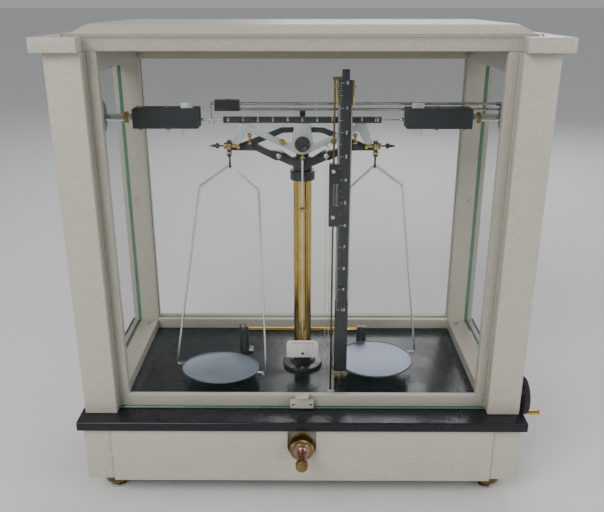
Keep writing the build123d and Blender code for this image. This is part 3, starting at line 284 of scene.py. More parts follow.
# ---- Black slab ----
# A 10 mm slab of black polished composition carries the case; its long front
# edge is rounded and rubbed, and its top has a dusty bloom in front of the door.
black_slab = Finish("black_slab", Specular_IOR_Level=0.35)
bloom = black_slab.noise(22.0, 6.0, 0.6)
smear = black_slab.noise(9.0, 4.0, 0.6, at=black_slab.stretched(0.5, 2.0, 2.0))
fleck = black_slab.spread(black_slab.noise(700.0, 2.0), 0.66, 0.74)
deep = black_slab.blend(smear, (0.005, 0.006, 0.009), (0.014, 0.016, 0.022))
deep = black_slab.blend(fleck * 0.25, deep, (0.25, 0.25, 0.25))
black_slab.set(Base_Color=deep, Roughness=black_slab.spread(bloom, 0.3, 0.7, 0.16, 0.36))
black_slab.bump(black_slab.noise(300.0, 3.0), 0.00004, 0.5)
slab = Piece("black_slab", black_slab)
slab.add(softened(cad_shape("base_slab"), 1.2, 4), 0)
slab.done("root", ["base_slab"])


# ---- Glazing ----
# Clear sheet glass: three fixed panes in the side and rear grooves and the
# frameless front door, whose ground edges show the green of the glass.
def brick(low, high, edge=0.0, segments=2):
    """A block between two corners in millimetres, its edges rounded."""
    shape = bmesh.new()
    bmesh.ops.create_cube(shape, size=1.0)
    low, high = Vector(low) * MM, Vector(high) * MM
    bmesh.ops.scale(shape, vec=high - low, verts=shape.verts)
    bmesh.ops.translate(shape, vec=(low + high) / 2, verts=shape.verts)
    if edge:
        bmesh.ops.bevel(shape, geom=shape.edges[:], offset=edge * MM, segments=segments, profile=0.5,
                        affect="EDGES", material=-1)
    return shape


def box_mm(node):
    low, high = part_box(node)
    return Vector(low) / MM, Vector(high) / MM


clear = Finish("clear_glass", Base_Color=(0.06, 0.11, 0.09), Roughness=0.02, IOR=1.5)
facing = clear.node("ShaderNodeLayerWeight", {}, {"Blend": 0.22}, out="Facing")
haze = clear.spread(clear.noise(14.0, 5.0), 0.45, 0.8, 0.0, 0.015)
clear.set(Alpha=clear.spread(facing ** 2.0, 0.0, 1.0, 0.035, 0.55) + haze)
green_edge = Finish("green_edge", Roughness=0.12, IOR=1.5, Alpha=0.9)
green_edge.set(Base_Color=green_edge.blend(green_edge.noise(50.0), (0.05, 0.17, 0.12), (0.12, 0.30, 0.22)))


def pane(name, body, low, high, thin, replaces=()):
    """A sheet of glass, clear on its faces and green at its ground edges."""
    sheet = brick(low, high, 0.5, 1)
    for face in sheet.faces:
        face.material_index = 0 if abs(face.normal[thin]) > 0.9 else 1
    made = Piece(name, clear, green_edge)
    made.add(sheet)
    return made.done(body, replaces)


door_low, door_high = box_mm("door_glass")
pane("door_glass_sheet", "front_door", door_low, door_high, 1, ["door_glass"])
glazed = cad_shape("fixed_glass")
REAR_PANE = 4.0
rear_from = box_mm("fixed_glass")[1].y - REAR_PANE
for face in glazed.faces:
    thin = 1 if face.calc_center_median().y / MM > rear_from else 0
    face.material_index = 0 if abs(face.normal[thin]) > 0.9 else 1
fixed = Piece("fixed_panes", clear, green_edge)
fixed.add(glazed)
fixed.done("root", ["fixed_glass"])

# ---- Door lifter ----
# A small tab standing on a wider plate, enamelled like the case and held to
# the glass by two small screws.
def turned(profile, at, axis="Z", steps=40):
    """A lathe-turned shape: (radius, distance) pairs in millimetres spun about an axis through a point."""
    shape = bmesh.new()
    verts = [shape.verts.new((r * MM, 0, h * MM)) for r, h in profile]
    if profile[0][0] > 0:
        verts.append(verts[0])
    edges = [shape.edges.new(pair) for pair in zip(verts, verts[1:])]
    bmesh.ops.spin(shape, geom=shape.verts[:] + edges, cent=(0, 0, 0), axis=(0, 0, 1), dvec=(0, 0, 0),
                   angle=2 * pi, steps=steps, use_merge=True, use_duplicate=False)
    bmesh.ops.remove_doubles(shape, verts=shape.verts, dist=1e-7)
    bmesh.ops.recalc_face_normals(shape, faces=shape.faces)
    return placed(shape, at, axis)


def placed(shape, at, axis="Z"):
    """Turn a shape's +Z to an axis (+X, +Y or their opposites) and move it to a point in millimetres."""
    turns = {"Z": (0, 0, 0), "-Z": (pi, 0, 0), "X": (0, pi / 2, 0), "-X": (0, -pi / 2, 0),
             "Y": (-pi / 2, 0, 0), "-Y": (pi / 2, 0, 0)}
    place = Matrix.Translation(Vector(at) * MM) @ Euler(turns[axis]).to_matrix().to_4x4()
    bmesh.ops.transform(shape, matrix=place, verts=shape.verts)
    return shape


def disc(radius, low, high, edge=0.3):
    """The half outline of a disc with chamfered rims, for turned()."""
    return [(0, low), (radius - edge, low), (radius, low + edge), (radius, high - edge),
            (radius - edge, high), (0, high)]


def ring(outer, inner, low, high, edge=0.2):
    """The half outline of a ring with chamfered outer rims, for turned()."""
    return [(inner, low), (outer - edge, low), (outer, low + edge),
            (outer, high - edge), (outer - edge, high), (inner, high)]


def screw_head(radius, height, at, axis="Z", slot=0.7):
    """A slotted cheese head: a full disc with two half moons on it."""
    head = turned(disc(radius, 0, height * 0.55, 0.05), (0, 0, 0), steps=24)
    for way in (-1, 1):
        moon = turned(disc(radius, height * 0.5, height, radius * 0.14), (0, 0, 0), steps=24)
        cut = bmesh.ops.bisect_plane(moon, geom=moon.verts[:] + moon.edges[:] + moon.faces[:], dist=1e-8,
                                     plane_co=(0, way * slot * MM / 2, 0), plane_no=(0, way, 0),
                                     clear_inner=True)
        rim = [e for e in cut["geom_cut"] if isinstance(e, bmesh.types.BMEdge)]
        bmesh.ops.edgeloop_fill(moon, edges=rim)
        bmesh.ops.recalc_face_normals(moon, faces=moon.faces)
        carrier = bpy.data.meshes.new("moon")
        moon.to_mesh(carrier)
        moon.free()
        head.from_mesh(carrier)
        bpy.data.meshes.remove(carrier)
    bmesh.ops.rotate(head, cent=(0, 0, 0), matrix=Matrix.Rotation(0.6 + at[0] * 0.7 + at[2] * 0.3, 3, "Z"),
                     verts=head.verts)
    return placed(head, at, axis)


def metal(name, colours, rough, grain, metallic=1.0, stretch=(1, 1, 1), bump=0.00002, spots=None,
          tarnish=0.35):
    """A metal finish: two tones mixed by a soft cloud, fine grain in its gloss, scattered dark stains."""
    made = Finish(name, Metallic=metallic)
    cloud = made.noise(26.0, 5.0, 0.62)
    fine = made.noise(grain, 3.0, 0.6, at=made.stretched(*stretch))
    base = made.blend(made.spread(cloud, 0.3, 0.7), colours[0], colours[1])
    gloss = made.spread(fine * 0.6 + cloud * 0.4, 0.3, 0.7, rough[0], rough[1])
    if spots:
        stain = made.spread(made.noise(95.0, 6.0, 0.7), 0.56, 0.74, 0.0, tarnish)
        base = made.blend(stain, base, spots)
        gloss = gloss + stain * 0.3
    made.set(Base_Color=base, Roughness=gloss)
    made.bump(fine, bump, 0.6)
    return made


steel = metal("bright_steel", ((0.50, 0.50, 0.52), (0.66, 0.66, 0.67)), (0.18, 0.34), 900.0,
              spots=(0.22, 0.17, 0.12), tarnish=0.2)
brass = metal("lacquered_brass", ((0.52, 0.34, 0.085), (0.72, 0.51, 0.17)), (0.10, 0.22), 700.0,
              stretch=(1, 1, 0.06), spots=(0.20, 0.11, 0.04), tarnish=0.45)
old_brass = metal("tarnished_brass", ((0.15, 0.095, 0.04), (0.33, 0.215, 0.085)), (0.24, 0.42), 500.0,
                  bump=0.00005, spots=(0.07, 0.045, 0.03), tarnish=0.8)
pink_brass = metal("rubbed_bronze", ((0.26, 0.16, 0.13), (0.42, 0.28, 0.22)), (0.22, 0.38), 500.0,
                   spots=(0.12, 0.07, 0.05), tarnish=0.5)

lifter = Piece("lifter_tab", enamel, steel)
lifter.add(softened(cad_shape("door_lifter"), 0.35, 3), 0)
tab_low = box_mm("door_lifter")[0]
for x in (-9.2, 9.4):
    lifter.add(screw_head(1.5, 0.9, (x, door_low.y - 1.6, tab_low.z + 5.6), "-Y", 0.4), 1)
lifter.done("front_door", ["door_lifter"])

# ---- Column and castings ----
# The column is a drawn brass tube, lacquered, standing in a black stepped
# flange; a black casting at its top carries the agate plane and the arms.
japan = Finish("black_japan", Specular_IOR_Level=0.55, Coat_Weight=0.35, Coat_Roughness=0.12)
sooty = japan.noise(60.0, 5.0, 0.6)
rub = japan.spread(japan.noise(140.0, 6.0, 0.7), 0.62, 0.78, 0.0, 0.35)
japan.set(Base_Color=japan.blend(rub, japan.blend(sooty, (0.010, 0.010, 0.012), (0.028, 0.028, 0.031)),
                                 (0.12, 0.11, 0.10)), Roughness=japan.spread(sooty, 0.3, 0.7, 0.26, 0.44))
japan.bump(japan.noise(420.0, 4.0), 0.00005, 0.6)
agate = Finish("agate", Roughness=0.12, Coat_Weight=0.6)
bands = agate.noise(240.0, 6.0, at=agate.stretched(1, 1, 6))
agate.set(Base_Color=agate.blend(bands, (0.20, 0.13, 0.10), (0.52, 0.45, 0.40)))

low, high = box_mm("column")
column_at = ((low.x + high.x) / 2, (low.y + high.y) / 2)
column_r = (high.x - low.x) / 2
column = Piece("brass_column", brass)
column.add(turned([(0, low.z), (column_r, low.z), (column_r, high.z - 1), (column_r - 1, high.z),
                   (0, high.z)], (*column_at, 0), steps=72), 0)
column.add(turned(ring(column_r + 1.1, column_r - 0.5, low.z + 7.2, low.z + 9.4, 0.5),
                  (*column_at, 0), steps=72), 0)
column.done("root", ["column"])

low, high = box_mm("column_base")
flange_r = (high.x - low.x) / 2
column_foot = Piece("column_flange", japan, steel)
column_foot.add(turned([(0, low.z), (flange_r - 0.4, low.z), (flange_r, low.z + 0.4), (flange_r, low.z + 3.4),
                        (flange_r - 0.9, low.z + 4.2), (flange_r - 7.6, low.z + 4.8),
                        (flange_r - 9.0, low.z + 6.0),
                        (flange_r - 9.4, high.z - 0.5), (flange_r - 10.0, high.z), (0, high.z)],
                       (*column_at, 0), steps=72), 0)
for turn in range(3):
    spoke = radians(30 + 120 * turn)
    column_foot.add(screw_head(2.1, 1.1, (column_at[0] + 18.4 * cos(spoke), column_at[1] + 18.4 * sin(spoke),
                                          low.z + 4.3)), 1)
column_foot.done("root", ["column_base"])

head_casting = Piece("column_head_casting", japan, steel)
head_casting.add(softened(cad_shape("column_head"), 0.55, 3), 0)
for side in (-1, 1):
    head_casting.add(screw_head(2.6, 1.2, (25 * side, -110.9, 351), "-Y"), 1)
head_casting.done("root", ["column_head"])
plane = Piece("agate_plane", agate)
plane.add(softened(cad_shape("bearing_plane"), 0.25, 2), 0)
plane.done("root", ["bearing_plane"])

# ---- Index plate ----
# A white plate with rounded upper corners, printed with a row of strokes that
# the pointer swings across, and held by one dark screw to a black foot.
ivory = Finish("ivory_plate", Specular_IOR_Level=0.5)
age = ivory.noise(70.0, 5.0)
ivory.set(Base_Color=ivory.blend(age, (0.90, 0.88, 0.80), (0.96, 0.95, 0.90)),
          Roughness=ivory.spread(age, 0.3, 0.7, 0.3, 0.5))
ink = Finish("black_ink", Roughness=0.6)
ink.set(Base_Color=ink.blend(ink.noise(300.0), (0.02, 0.02, 0.02), (0.06, 0.06, 0.06)))
white_fill = Finish("white_filling", Roughness=0.55)
white_fill.set(Base_Color=white_fill.blend(white_fill.noise(260.0), (0.62, 0.62, 0.58), (0.88, 0.88, 0.85)))


def figure(text, height, at, depth=0.06):
    """A flat number facing the front, centred on a point in millimetres."""
    letters = bpy.data.curves.new("figure", "FONT")
    letters.body = text
    letters.size = height * MM / 0.7
    letters.align_x = "CENTER"
    letters.align_y = "CENTER"
    letters.extrude = depth * MM / 2
    letters.resolution_u = 2
    holder = bpy.data.objects.new("figure", letters)
    flat = bpy.data.meshes.new_from_object(holder)
    shape = bmesh.new()
    shape.from_mesh(flat)
    bpy.data.objects.remove(holder)
    bpy.data.meshes.remove(flat)
    bpy.data.curves.remove(letters)
    bmesh.ops.remove_doubles(shape, verts=shape.verts, dist=1e-7)
    return placed(shape, at, "-Y")


low, high = box_mm("index_plate")
plate_face = low.y
PLATE_T = 1.2
PLATE_FOOT_Z = 116.6
dial = Piece("index_dial", ivory, ink, old_brass, japan)
plate = softened(cad_shape("index_plate"), 0.25, 2, 50.0)
for face in plate.faces:
    spot = face.calc_center_median() / MM
    face.material_index = 3 if spot.y > plate_face + PLATE_T + 0.05 or spot.z < PLATE_FOOT_Z - 0.3 else 0
dial.add(plate)
STROKES = 13
for i in range(STROKES):
    offset = (i - STROKES // 2) * 2.0
    stroke = 3.6 if i % 3 == 0 else 2.6
    dial.add(brick((offset - 0.27, plate_face - 0.08, high.z - 1.8 - stroke),
                   (offset + 0.27, plate_face + 0.02, high.z - 1.8)), 1)
for offset in (-12, -6, 6, 12):
    dial.add(figure(str(abs(offset) // 2), 2.0, (offset, plate_face - 0.05, high.z - 8.4)), 1)
dial.add(screw_head(1.5, 0.9, (0.3, plate_face, PLATE_FOOT_Z + 5.3), "-Y", 0.45), 2)
dial.done("root", ["index_plate"])

# ---- Beam ----
# A pierced aluminium truss with a black notched bar on top, marked 0 to 10;
# brass bushes, studs and nuts carry and trim the three knives.
alloy = metal("sandy_aluminium", ((0.45, 0.49, 0.49), (0.62, 0.66, 0.65)), (0.40, 0.55), 800.0, metallic=0.55,
              bump=0.00004, spots=(0.36, 0.38, 0.37), tarnish=0.25)
beam_y = -116.0
BUSH_Z = 363.0
BOSS_Z = 365.5
VANE_ROD_Z = 390.0
beam_front = box_mm("beam_frame")[0].y
truss = Piece("beam_truss", alloy, steel)
truss.add(softened(cad_shape("beam_frame"), 0.55, 3, 25.0), 0)
for side in (-1, 1):
    truss.add(screw_head(1.3, 0.7, (68.2 * side, beam_front, 372.4), "-Y", 0.35), 1)
truss.done("beam", ["beam_frame"])

low, high = box_mm("notch_bar")
bar_top = Piece("notched_bar", japan, white_fill)
bar_top.add(softened(cad_shape("notch_bar"), 0.25, 2), 0)
NOTCH_PITCH = 15.2
for i in range(11):
    at = (i - 5) * NOTCH_PITCH
    bar_top.add(figure(str(i), 3.4, (at, low.y, low.z + 3.0)), 1)
bar_top.done("beam", ["notch_bar"])


def knurled(radius, length, teeth, depth, at, axis="Z", edge=0.7):
    """A milled disc: a toothed circle drawn up in three lifts, its rims drawn in."""
    shape = bmesh.new()
    bmesh.ops.create_circle(shape, cap_ends=True, segments=2 * teeth, radius=(radius - edge) * MM)
    bmesh.ops.scale(shape, vec=(1 - depth / radius, 1 - depth / radius, 1), verts=list(shape.verts)[1::2])
    lifts = ((edge, radius / (radius - edge)), (length - 2 * edge, 1.0), (edge, (radius - edge) / radius))
    for rise, grown in lifts:
        top = max(shape.faces, key=lambda face: (face.calc_center_median().z, len(face.verts)))
        drawn = bmesh.ops.extrude_face_region(shape, geom=[top])["geom"]
        verts = [v for v in drawn if isinstance(v, bmesh.types.BMVert)]
        bmesh.ops.translate(shape, vec=(0, 0, rise * MM), verts=verts)
        bmesh.ops.scale(shape, vec=(grown, grown, 1), verts=verts)
        if top.is_valid and len(shape.faces) > 2 * teeth + 2:
            bmesh.ops.delete(shape, geom=[top], context="FACES_ONLY")
    bmesh.ops.recalc_face_normals(shape, faces=shape.faces)
    return placed(shape, at, axis)


boss = Piece("knife_boss", japan, steel)
boss.add(turned([(0, 0), (7.9, 0), (7.9, 4.6), (6.8, 6.4), (5.4, 6.9), (4.8, 6.4), (0, 6.2)],
                (0, beam_front, BOSS_Z), "-Y", 56), 0)
boss.add(screw_head(2.3, 1.0, (0, beam_front - 6.0, BOSS_Z), "-Y"), 0)
wedge = cad_shape("centre_knife")
bmesh.ops.delete(wedge, geom=[v for v in wedge.verts if v.co.y < beam_front * MM + 1e-5], context="VERTS")
boss.add(softened(wedge, 0.08, 1), 1)
boss.done("beam", ["centre_knife"])


def wire_ring(radius, thick, at, axis="-Y"):
    """A ring of round wire lying across an axis."""
    shape = bmesh.new()
    bmesh.ops.create_circle(shape, segments=8, radius=thick * MM)
    bmesh.ops.rotate(shape, cent=(0, 0, 0), matrix=Matrix.Rotation(pi / 2, 3, "X"), verts=shape.verts)
    bmesh.ops.translate(shape, vec=(radius * MM, 0, 0), verts=shape.verts)
    bmesh.ops.spin(shape, geom=shape.verts[:] + shape.edges[:], cent=(0, 0, 0), axis=(0, 0, 1),
                   dvec=(0, 0, 0), angle=2 * pi, steps=28, use_merge=True, use_duplicate=False)
    bmesh.ops.remove_doubles(shape, verts=shape.verts, dist=1e-7)
    bmesh.ops.recalc_face_normals(shape, faces=shape.faces)
    return placed(shape, at, axis)


fittings = Piece("beam_brasses", brass, steel)
for x, z in ((-20.6, 368.1), (32.5, 368.6)):
    fittings.add(knurled(3.2, 3.2, 22, 0.22, (x, beam_front - 1.4, z), "-Y", 0.5), 0)
    fittings.add(turned(disc(1.3, -0.02, 4.9), (x, beam_front, z), "-Y", 24), 0)
fittings.add(knurled(2.6, 2.4, 18, 0.2, (0, beam_y, 349.4), "Z", 0.4), 0)
fittings.add(turned(disc(1.2, 348.2, 353.9), (0, beam_y, 0), "Z", 24), 0)
fittings.add(turned(disc(0.6, -0.1, 7.6, 0.2), (25.0, beam_front, 364.6), "-Y", 20), 0)
fittings.add(wire_ring(2.4, 0.35, (25.0, -125.0, 361.6)), 1)
fittings.done("beam", ["balance_nuts"])

bushes = Piece("end_bushes", brass, steel)
for side in (-1, 1):
    way = "X" if side > 0 else "-X"
    bushes.add(turned([(0, 0), (1.9, 0), (1.9, 7.0), (2.4, 7.4), (2.4, 13.4), (3.3, 13.8), (3.3, 14.2),
                       (2.9, 14.5), (3.3, 14.8), (3.3, 16.2), (2.8, 16.5), (0, 16.5)],
                      (65.0 * side, beam_y, BUSH_Z), way, 32), 0)
    bushes.add(brick((66.5 * side - 1.5, -118.4, 360.3), (66.5 * side + 1.5, -114.6, 364.6), 0.3), 0)
    blade = bmesh.new()
    bmesh.ops.create_cone(blade, cap_ends=True, segments=3, radius1=1.7 * MM, radius2=1.7 * MM,
                          depth=4.0 * MM)
    bmesh.ops.rotate(blade, cent=(0, 0, 0), matrix=Matrix.Rotation(pi, 3, "Z"), verts=blade.verts)
    bushes.add(placed(blade, (76.0 * side, -116.5, 364.6), "-Y"), 1)
bushes.done("beam", ["end_knives"])

poises = Piece("poise_weights", japan)
for side in (-1, 1):
    way = "X" if side > 0 else "-X"
    poises.add(turned([(0, 81.5), (0.85, 81.5), (0.85, 86.2), (1.6, 86.4), (2.9, 87.4), (3.0, 88.4),
                       (2.6, 89.6), (1.5, 90.2), (1.5, 91.2), (1.7, 91.4), (0.3, 96.9), (0, 97)],
                      (0, beam_y, BUSH_Z), way, 28), 0)
poises.done("beam", ["poise_screws"])

vane_sheet = metal("vane_aluminium", ((0.66, 0.68, 0.69), (0.80, 0.81, 0.82)), (0.30, 0.44), 500.0,
                   metallic=0.75, stretch=(0.1, 1, 1))
low, high = box_mm("damper_vanes")
vanes = Piece("damper_vanes_and_rods", vane_sheet, steel)
for side in (-1, 1):
    way = "X" if side > 0 else "-X"
    vanes.add(brick((118 * side - 6.2, -116.6, low.z), (118 * side + 6.2, -115.4, high.z), 0.25), 0)
    vanes.add(turned([(0, 81), (0.75, 81), (0.75, 100.2), (1.5, 100.6), (1.9, 101.4), (1.9, 102.6),
                      (1.5, 103.4), (0.9, 104.0), (0.9, 111), (1.7, 111.8), (1.7, 114.5), (0, 114.5)],
                     (0, beam_y, VANE_ROD_Z), way, 24), 1)
    for z in (387.4, 392.6):
        vanes.add(turned(disc(0.8, 0, 0.5, 0.15), (115.5 * side, -116.6, z), "-Y", 16), 1)
vanes.done("beam", ["damper_vanes"])

needle_paint = metal("needle_white_metal", ((0.74, 0.74, 0.76), (0.90, 0.90, 0.91)), (0.25, 0.4), 700.0,
                     metallic=0.6, stretch=(1, 1, 0.05))
low, high = box_mm("pointer")
needle = Piece("pointer_needle", needle_paint, brass)
needle.add(turned([(0, low.z), (0.28, low.z), (0.42, low.z + 14), (1.0, high.z - 6), (1.3, high.z - 0.4),
                   (0, high.z - 0.4)], (0, beam_y, 0), "Z", 20), 0)
needle.add(knurled(3.6, 2.9, 24, 0.22, (0, beam_y, 293.0), "Z", 0.5), 1)
needle.add(turned(disc(1.9, 296.0, 297.4, 0.3), (0, beam_y, 0), "Z", 24), 1)
needle.done("beam", ["pointer"])

# ---- Arrest arms ----
# Two black cast arms swing on slotted screws beside the column; each ends in
# a seat with a turned brass contact post under the beam.
SIDES = {"left": -1, "right": 1}
for name, side in SIDES.items():
    arm = Piece("arrest_arm_casting_" + name, japan, brass)
    casting = cad_shape("arrest_arm_" + name)
    for vert in casting.verts:
        if vert.co.x * side < 13 * MM and vert.co.z > 375 * MM:
            vert.co.x -= 3.5 * MM * side
    arm.add(softened(casting, 0.6, 3, 20.0), 0)
    arm.add(screw_head(1.7, 0.9, (71.5 * side, -109.6, 361.0), "-Y", 0.4), 1)
    arm.done("arrest_arm_" + name, ["arrest_arm_" + name])
    low, high = box_mm("contact_post_" + name)
    post = Piece("contact_post_brass_" + name, brass)
    post.add(turned([(0, 0), (2.5, 0), (2.6, 0.3), (2.6, 1.6), (2.2, 2.0), (1.5, 2.4), (1.3, 4.2), (1.3, 6.8),
                     (1.6, 7.4), (2.5, 8.6), (2.6, 9.0), (2.6, 9.9), (2.2, 10.3), (1.2, 10.6),
                     (1.0, 11.7), (0, 11.75)],
                    ((low.x + high.x) / 2, (low.y + high.y) / 2, low.z), "Z", 28), 0)
    post.done("arrest_arm_" + name, ["contact_post_" + name])

# ---- Stirrups ----
# A dark yoke rides on each end knife, with ribbed brass and a brass nut on its
# front; a wire ring under it carries the bow.
for name, side in SIDES.items():
    low = box_mm("stirrup_" + name)[0]
    yoke = Piece("stirrup_yoke_" + name, japan, brass, steel)
    yoke.add(softened(cad_shape("stirrup_" + name), 0.3, 2, 30.0), 0)
    front = low.y
    for rib in range(4):
        x = 73.9 * side + (rib + 0.5) * 1.0 * side
        yoke.add(brick((x - 0.42, front - 0.9, 360.2), (x + 0.42, front + 0.1, 366.0), 0.25), 1 + rib % 2)
    yoke.add(brick((75.7 * side - 2.9, front - 1.0, 355.1), (75.7 * side + 2.9, front + 0.1, 357.7), 0.5), 1)
    yoke.done("stirrup_" + name, ["stirrup_" + name])

# ---- Bows and pans ----
# Each bow is one length of bright wire, cranked at the shoulders; its feet
# hook under the ears of a shallow spun pan.
wire = metal("bright_wire", ((0.78, 0.79, 0.80), (0.90, 0.90, 0.91)), (0.16, 0.3), 900.0, stretch=(1, 1, 0.2))
spun = Finish("spun_pan_metal", Metallic=0.85)
lathe = spun.noise(420.0, 3.0)
film = spun.noise(18.0, 5.0, 0.6)
spun.set(Base_Color=spun.blend(spun.spread(film, 0.3, 0.7), (0.17, 0.20, 0.25), (0.27, 0.30, 0.35)),
         Roughness=spun.spread(film * 0.7 + lathe * 0.3, 0.3, 0.7, 0.34, 0.5))
spun.bump(lathe, 0.00002, 0.4)
for name in SIDES:
    bow = Piece("bow_wire_" + name, wire)
    bow.add(cad_shape("bow_" + name, False), 0)
    bow.done("hanging_pan_" + name, ["bow_" + name], 50.0)
    pan = Piece("spun_pan_" + name, spun)
    pan.add(softened(cad_shape("pan_" + name), 0.3, 3, 50.0), 0)
    pan.done("hanging_pan_" + name, ["pan_" + name], 40.0)

# ---- Magnetic dampers ----
# Black enamelled magnet blocks, screwed through from above and below, are
# held off the side glasses by chromed rods with a brass locking ring.
crackle = Finish("magnet_black", Specular_IOR_Level=0.45)
cast_skin = crackle.noise(260.0, 5.0, 0.65)
crackle.set(Base_Color=crackle.blend(cast_skin, (0.012, 0.013, 0.017), (0.034, 0.036, 0.042)),
            Roughness=crackle.spread(cast_skin, 0.3, 0.7, 0.42, 0.62))
crackle.bump(cast_skin, 0.00018, 0.7)
chrome = metal("chrome_plate", ((0.74, 0.75, 0.77), (0.86, 0.87, 0.88)), (0.07, 0.14), 500.0)
blocks = Piece("magnet_blocks_cast", crackle)
blocks.add(softened(cad_shape("magnet_blocks"), 0.8, 3), 0)
blocks.done("root", ["magnet_blocks"])
low, high = box_mm("magnet_supports")
magnet_z = (low.z + high.z) / 2
supports = Piece("magnet_rods", chrome, brass, japan)
for side in (-1, 1):
    way = "X" if side > 0 else "-X"
    at = (0, beam_y, magnet_z)
    supports.add(turned([(0, 160.2), (3.9, 160.2), (3.9, 220.4), (0, 220.4)], at, way, 36), 0)
    supports.add(knurled(5.9, 4.0, 34, 0.25, (178.0 * side, beam_y, magnet_z), way, 0.5), 1)
    supports.add(turned([(3.5, 204.5), (16.8, 204.5), (17.5, 205.2), (17.5, 208.0), (16.9, 208.5),
                         (6.5, 208.5), (6.3, 212.4), (3.5, 212.4)], at, way, 56), 2)
    supports.add(turned([(0, 216.6), (8.6, 216.6), (9.0, 217.0), (9.0, 219.4), (8.2, 220.4), (4.2, 221.0),
                         (0, 221.0)], at, way, 40), 0)
supports.done("root", ["magnet_supports"])

# ---- Small screws ----
# Slotted steel screws hold the rails to the rear frame, and milled brass ones
# clamp the magnets from above and below.
fixings = Piece("case_and_magnet_screws", steel, brass)
for side in (-1, 1):
    for z in (273.0, 449.0):
        fixings.add(screw_head(2.3, 1.1, (206.5 * side, 0.5, z), "-Y"), 0)
    fixings.add(screw_head(2.3, 1.1, (200 * side, -11.5, 109.7)), 0)
    for x in (137.5, 165.9):
        for z, way, rise in ((402.1, "Z", 1.6), (382.5, "-Z", -1.6)):
            fixings.add(knurled(2.6, 1.6, 16, 0.2, (x * side, -120, z), way, 0.3), 1)
            fixings.add(screw_head(1.8, 0.9, (x * side, -120, z + rise), way, 0.45), 1)
fixings.done("root", ["small_screws"])

# ---- Reading column ----
# A black bar with a white-filled scale from 0 to 10 down its face; brass side
# plates, feet and a slim guide rod for the vernier finish it.
low, high = box_mm("scale_column")
face_y = low.y
UNIT = 23.8
SCALE_TOP = 430.6
scale_bar = Piece("scale_bar", japan, white_fill)
scale_bar.add(softened(cad_shape("scale_column"), 0.5, 3), 0)
for x in (low.x + 0.75, high.x - 0.75):
    scale_bar.add(brick((x - 0.16, face_y - 0.05, 204.0), (x + 0.16, face_y + 0.05, 410.0)), 1)
for i in range(101):
    z = SCALE_TOP - i * UNIT / 10
    reach = 4.2 if i % 10 == 0 else 3.0 if i % 5 == 0 else 1.4
    scale_bar.add(brick((low.x + 1.3, face_y - 0.05, z - 0.12),
                        (low.x + 1.3 + reach, face_y + 0.05, z + 0.12)), 1)
for i in range(11):
    scale_bar.add(figure(str(i), 3.4, (high.x - 5.4, face_y, SCALE_TOP - i * UNIT)), 1)
scale_bar.done("root", ["scale_column"])

trims = Piece("scale_trims", brass, steel, old_brass)
strips = softened(cad_shape("scale_brass"), 0.3, 2, 50.0)
for face in strips.faces:
    spot = face.calc_center_median() / MM
    face.material_index = 2 if spot.x < 32.7 or spot.z > 433.0 else 0
trims.add(strips)
for side, x in ((-1, 33.3), (1, 50.7)):
    trims.add(turned(disc(1.5, 0, 1.6, 0.3), (x, -149, 427), "X" if side > 0 else "-X", 24), 1)
trims.done("root", ["scale_brass"])

low, high = box_mm("vernier_slider")
vernier = Piece("vernier_block", japan, white_fill, steel)
vernier.add(softened(cad_shape("vernier_slider"), 0.4, 3), 0)
for i in range(11):
    z = low.z + 22.5 + i * UNIT * 0.09
    reach = 2.6 if i % 5 == 0 else 1.8
    vernier.add(brick((low.x + 6.9, low.y - 0.05, z - 0.17),
                      (low.x + 6.9 + reach, low.y + 0.05, z + 0.17)), 1)
    vernier.add(brick((low.x + 4.3, low.y - 0.05, z - 0.17), (low.x + 5.4, low.y + 0.05, z + 0.17)), 1)
for z in (low.z + 10.0, high.z - 7.5):
    vernier.add(screw_head(2.0, 1.0, (low.x + 4.3, low.y, z), "-Y", 0.5), 2)
vernier.done("vernier", ["vernier_slider"])

# ---- Weighing chain ----
# A fine chain hangs from the beam's right arm in one deep loop and comes up to
# the vernier. Its links follow one smooth line and are split into two strands
# between the case and the vernier.
SLAB_TOP = 97.0
CHAIN_ROUTE = [(25.0, -125.0, 262.0), (25.0, -125.0, 208.0), (25.2, -125.2, 150.0), (25.0, -125.0, 92.0),
               (25.3, -125.4, 44.0), (26.0, -131.0, 16.0), (27.4, -141.0, 16.0), (28.2, -146.6, 44.0),
               (28.6, -147.0, 92.0), (28.7, -146.9, 140.0), (28.9, -147.0, 189.9)]
chain_points = [(x * MM, y * MM, (SLAB_TOP + z) * MM) for x, y, z in CHAIN_ROUTE]


def smooth_line(points):
    """The points of a NURBS line of order three through a route's control points."""
    curve = bpy.data.curves.new("line", "CURVE")
    curve.dimensions = "3D"
    spline = curve.splines.new("NURBS")
    spline.points.add(len(points) - 1)
    for point, co in zip(spline.points, points):
        point.co = (*co, 1)
    spline.order_u = 3
    spline.use_endpoint_u = True
    spline.resolution_u = 40
    holder = bpy.data.objects.new("line", curve)
    mesh = bpy.data.meshes.new_from_object(holder)
    found = [v.co.copy() for v in mesh.vertices]
    bpy.data.objects.remove(holder)
    bpy.data.meshes.remove(mesh)
    bpy.data.curves.remove(curve)
    return found


def at_distance(line, step):
    """Points and directions every so far along a line."""
    found = []
    left = step / 2
    for a, b in zip(line, line[1:]):
        run = (b - a).length
        while run > 0 and left <= run:
            found.append((a.lerp(b, left / run), (b - a).normalized()))
            left += step
        left -= run
    return found


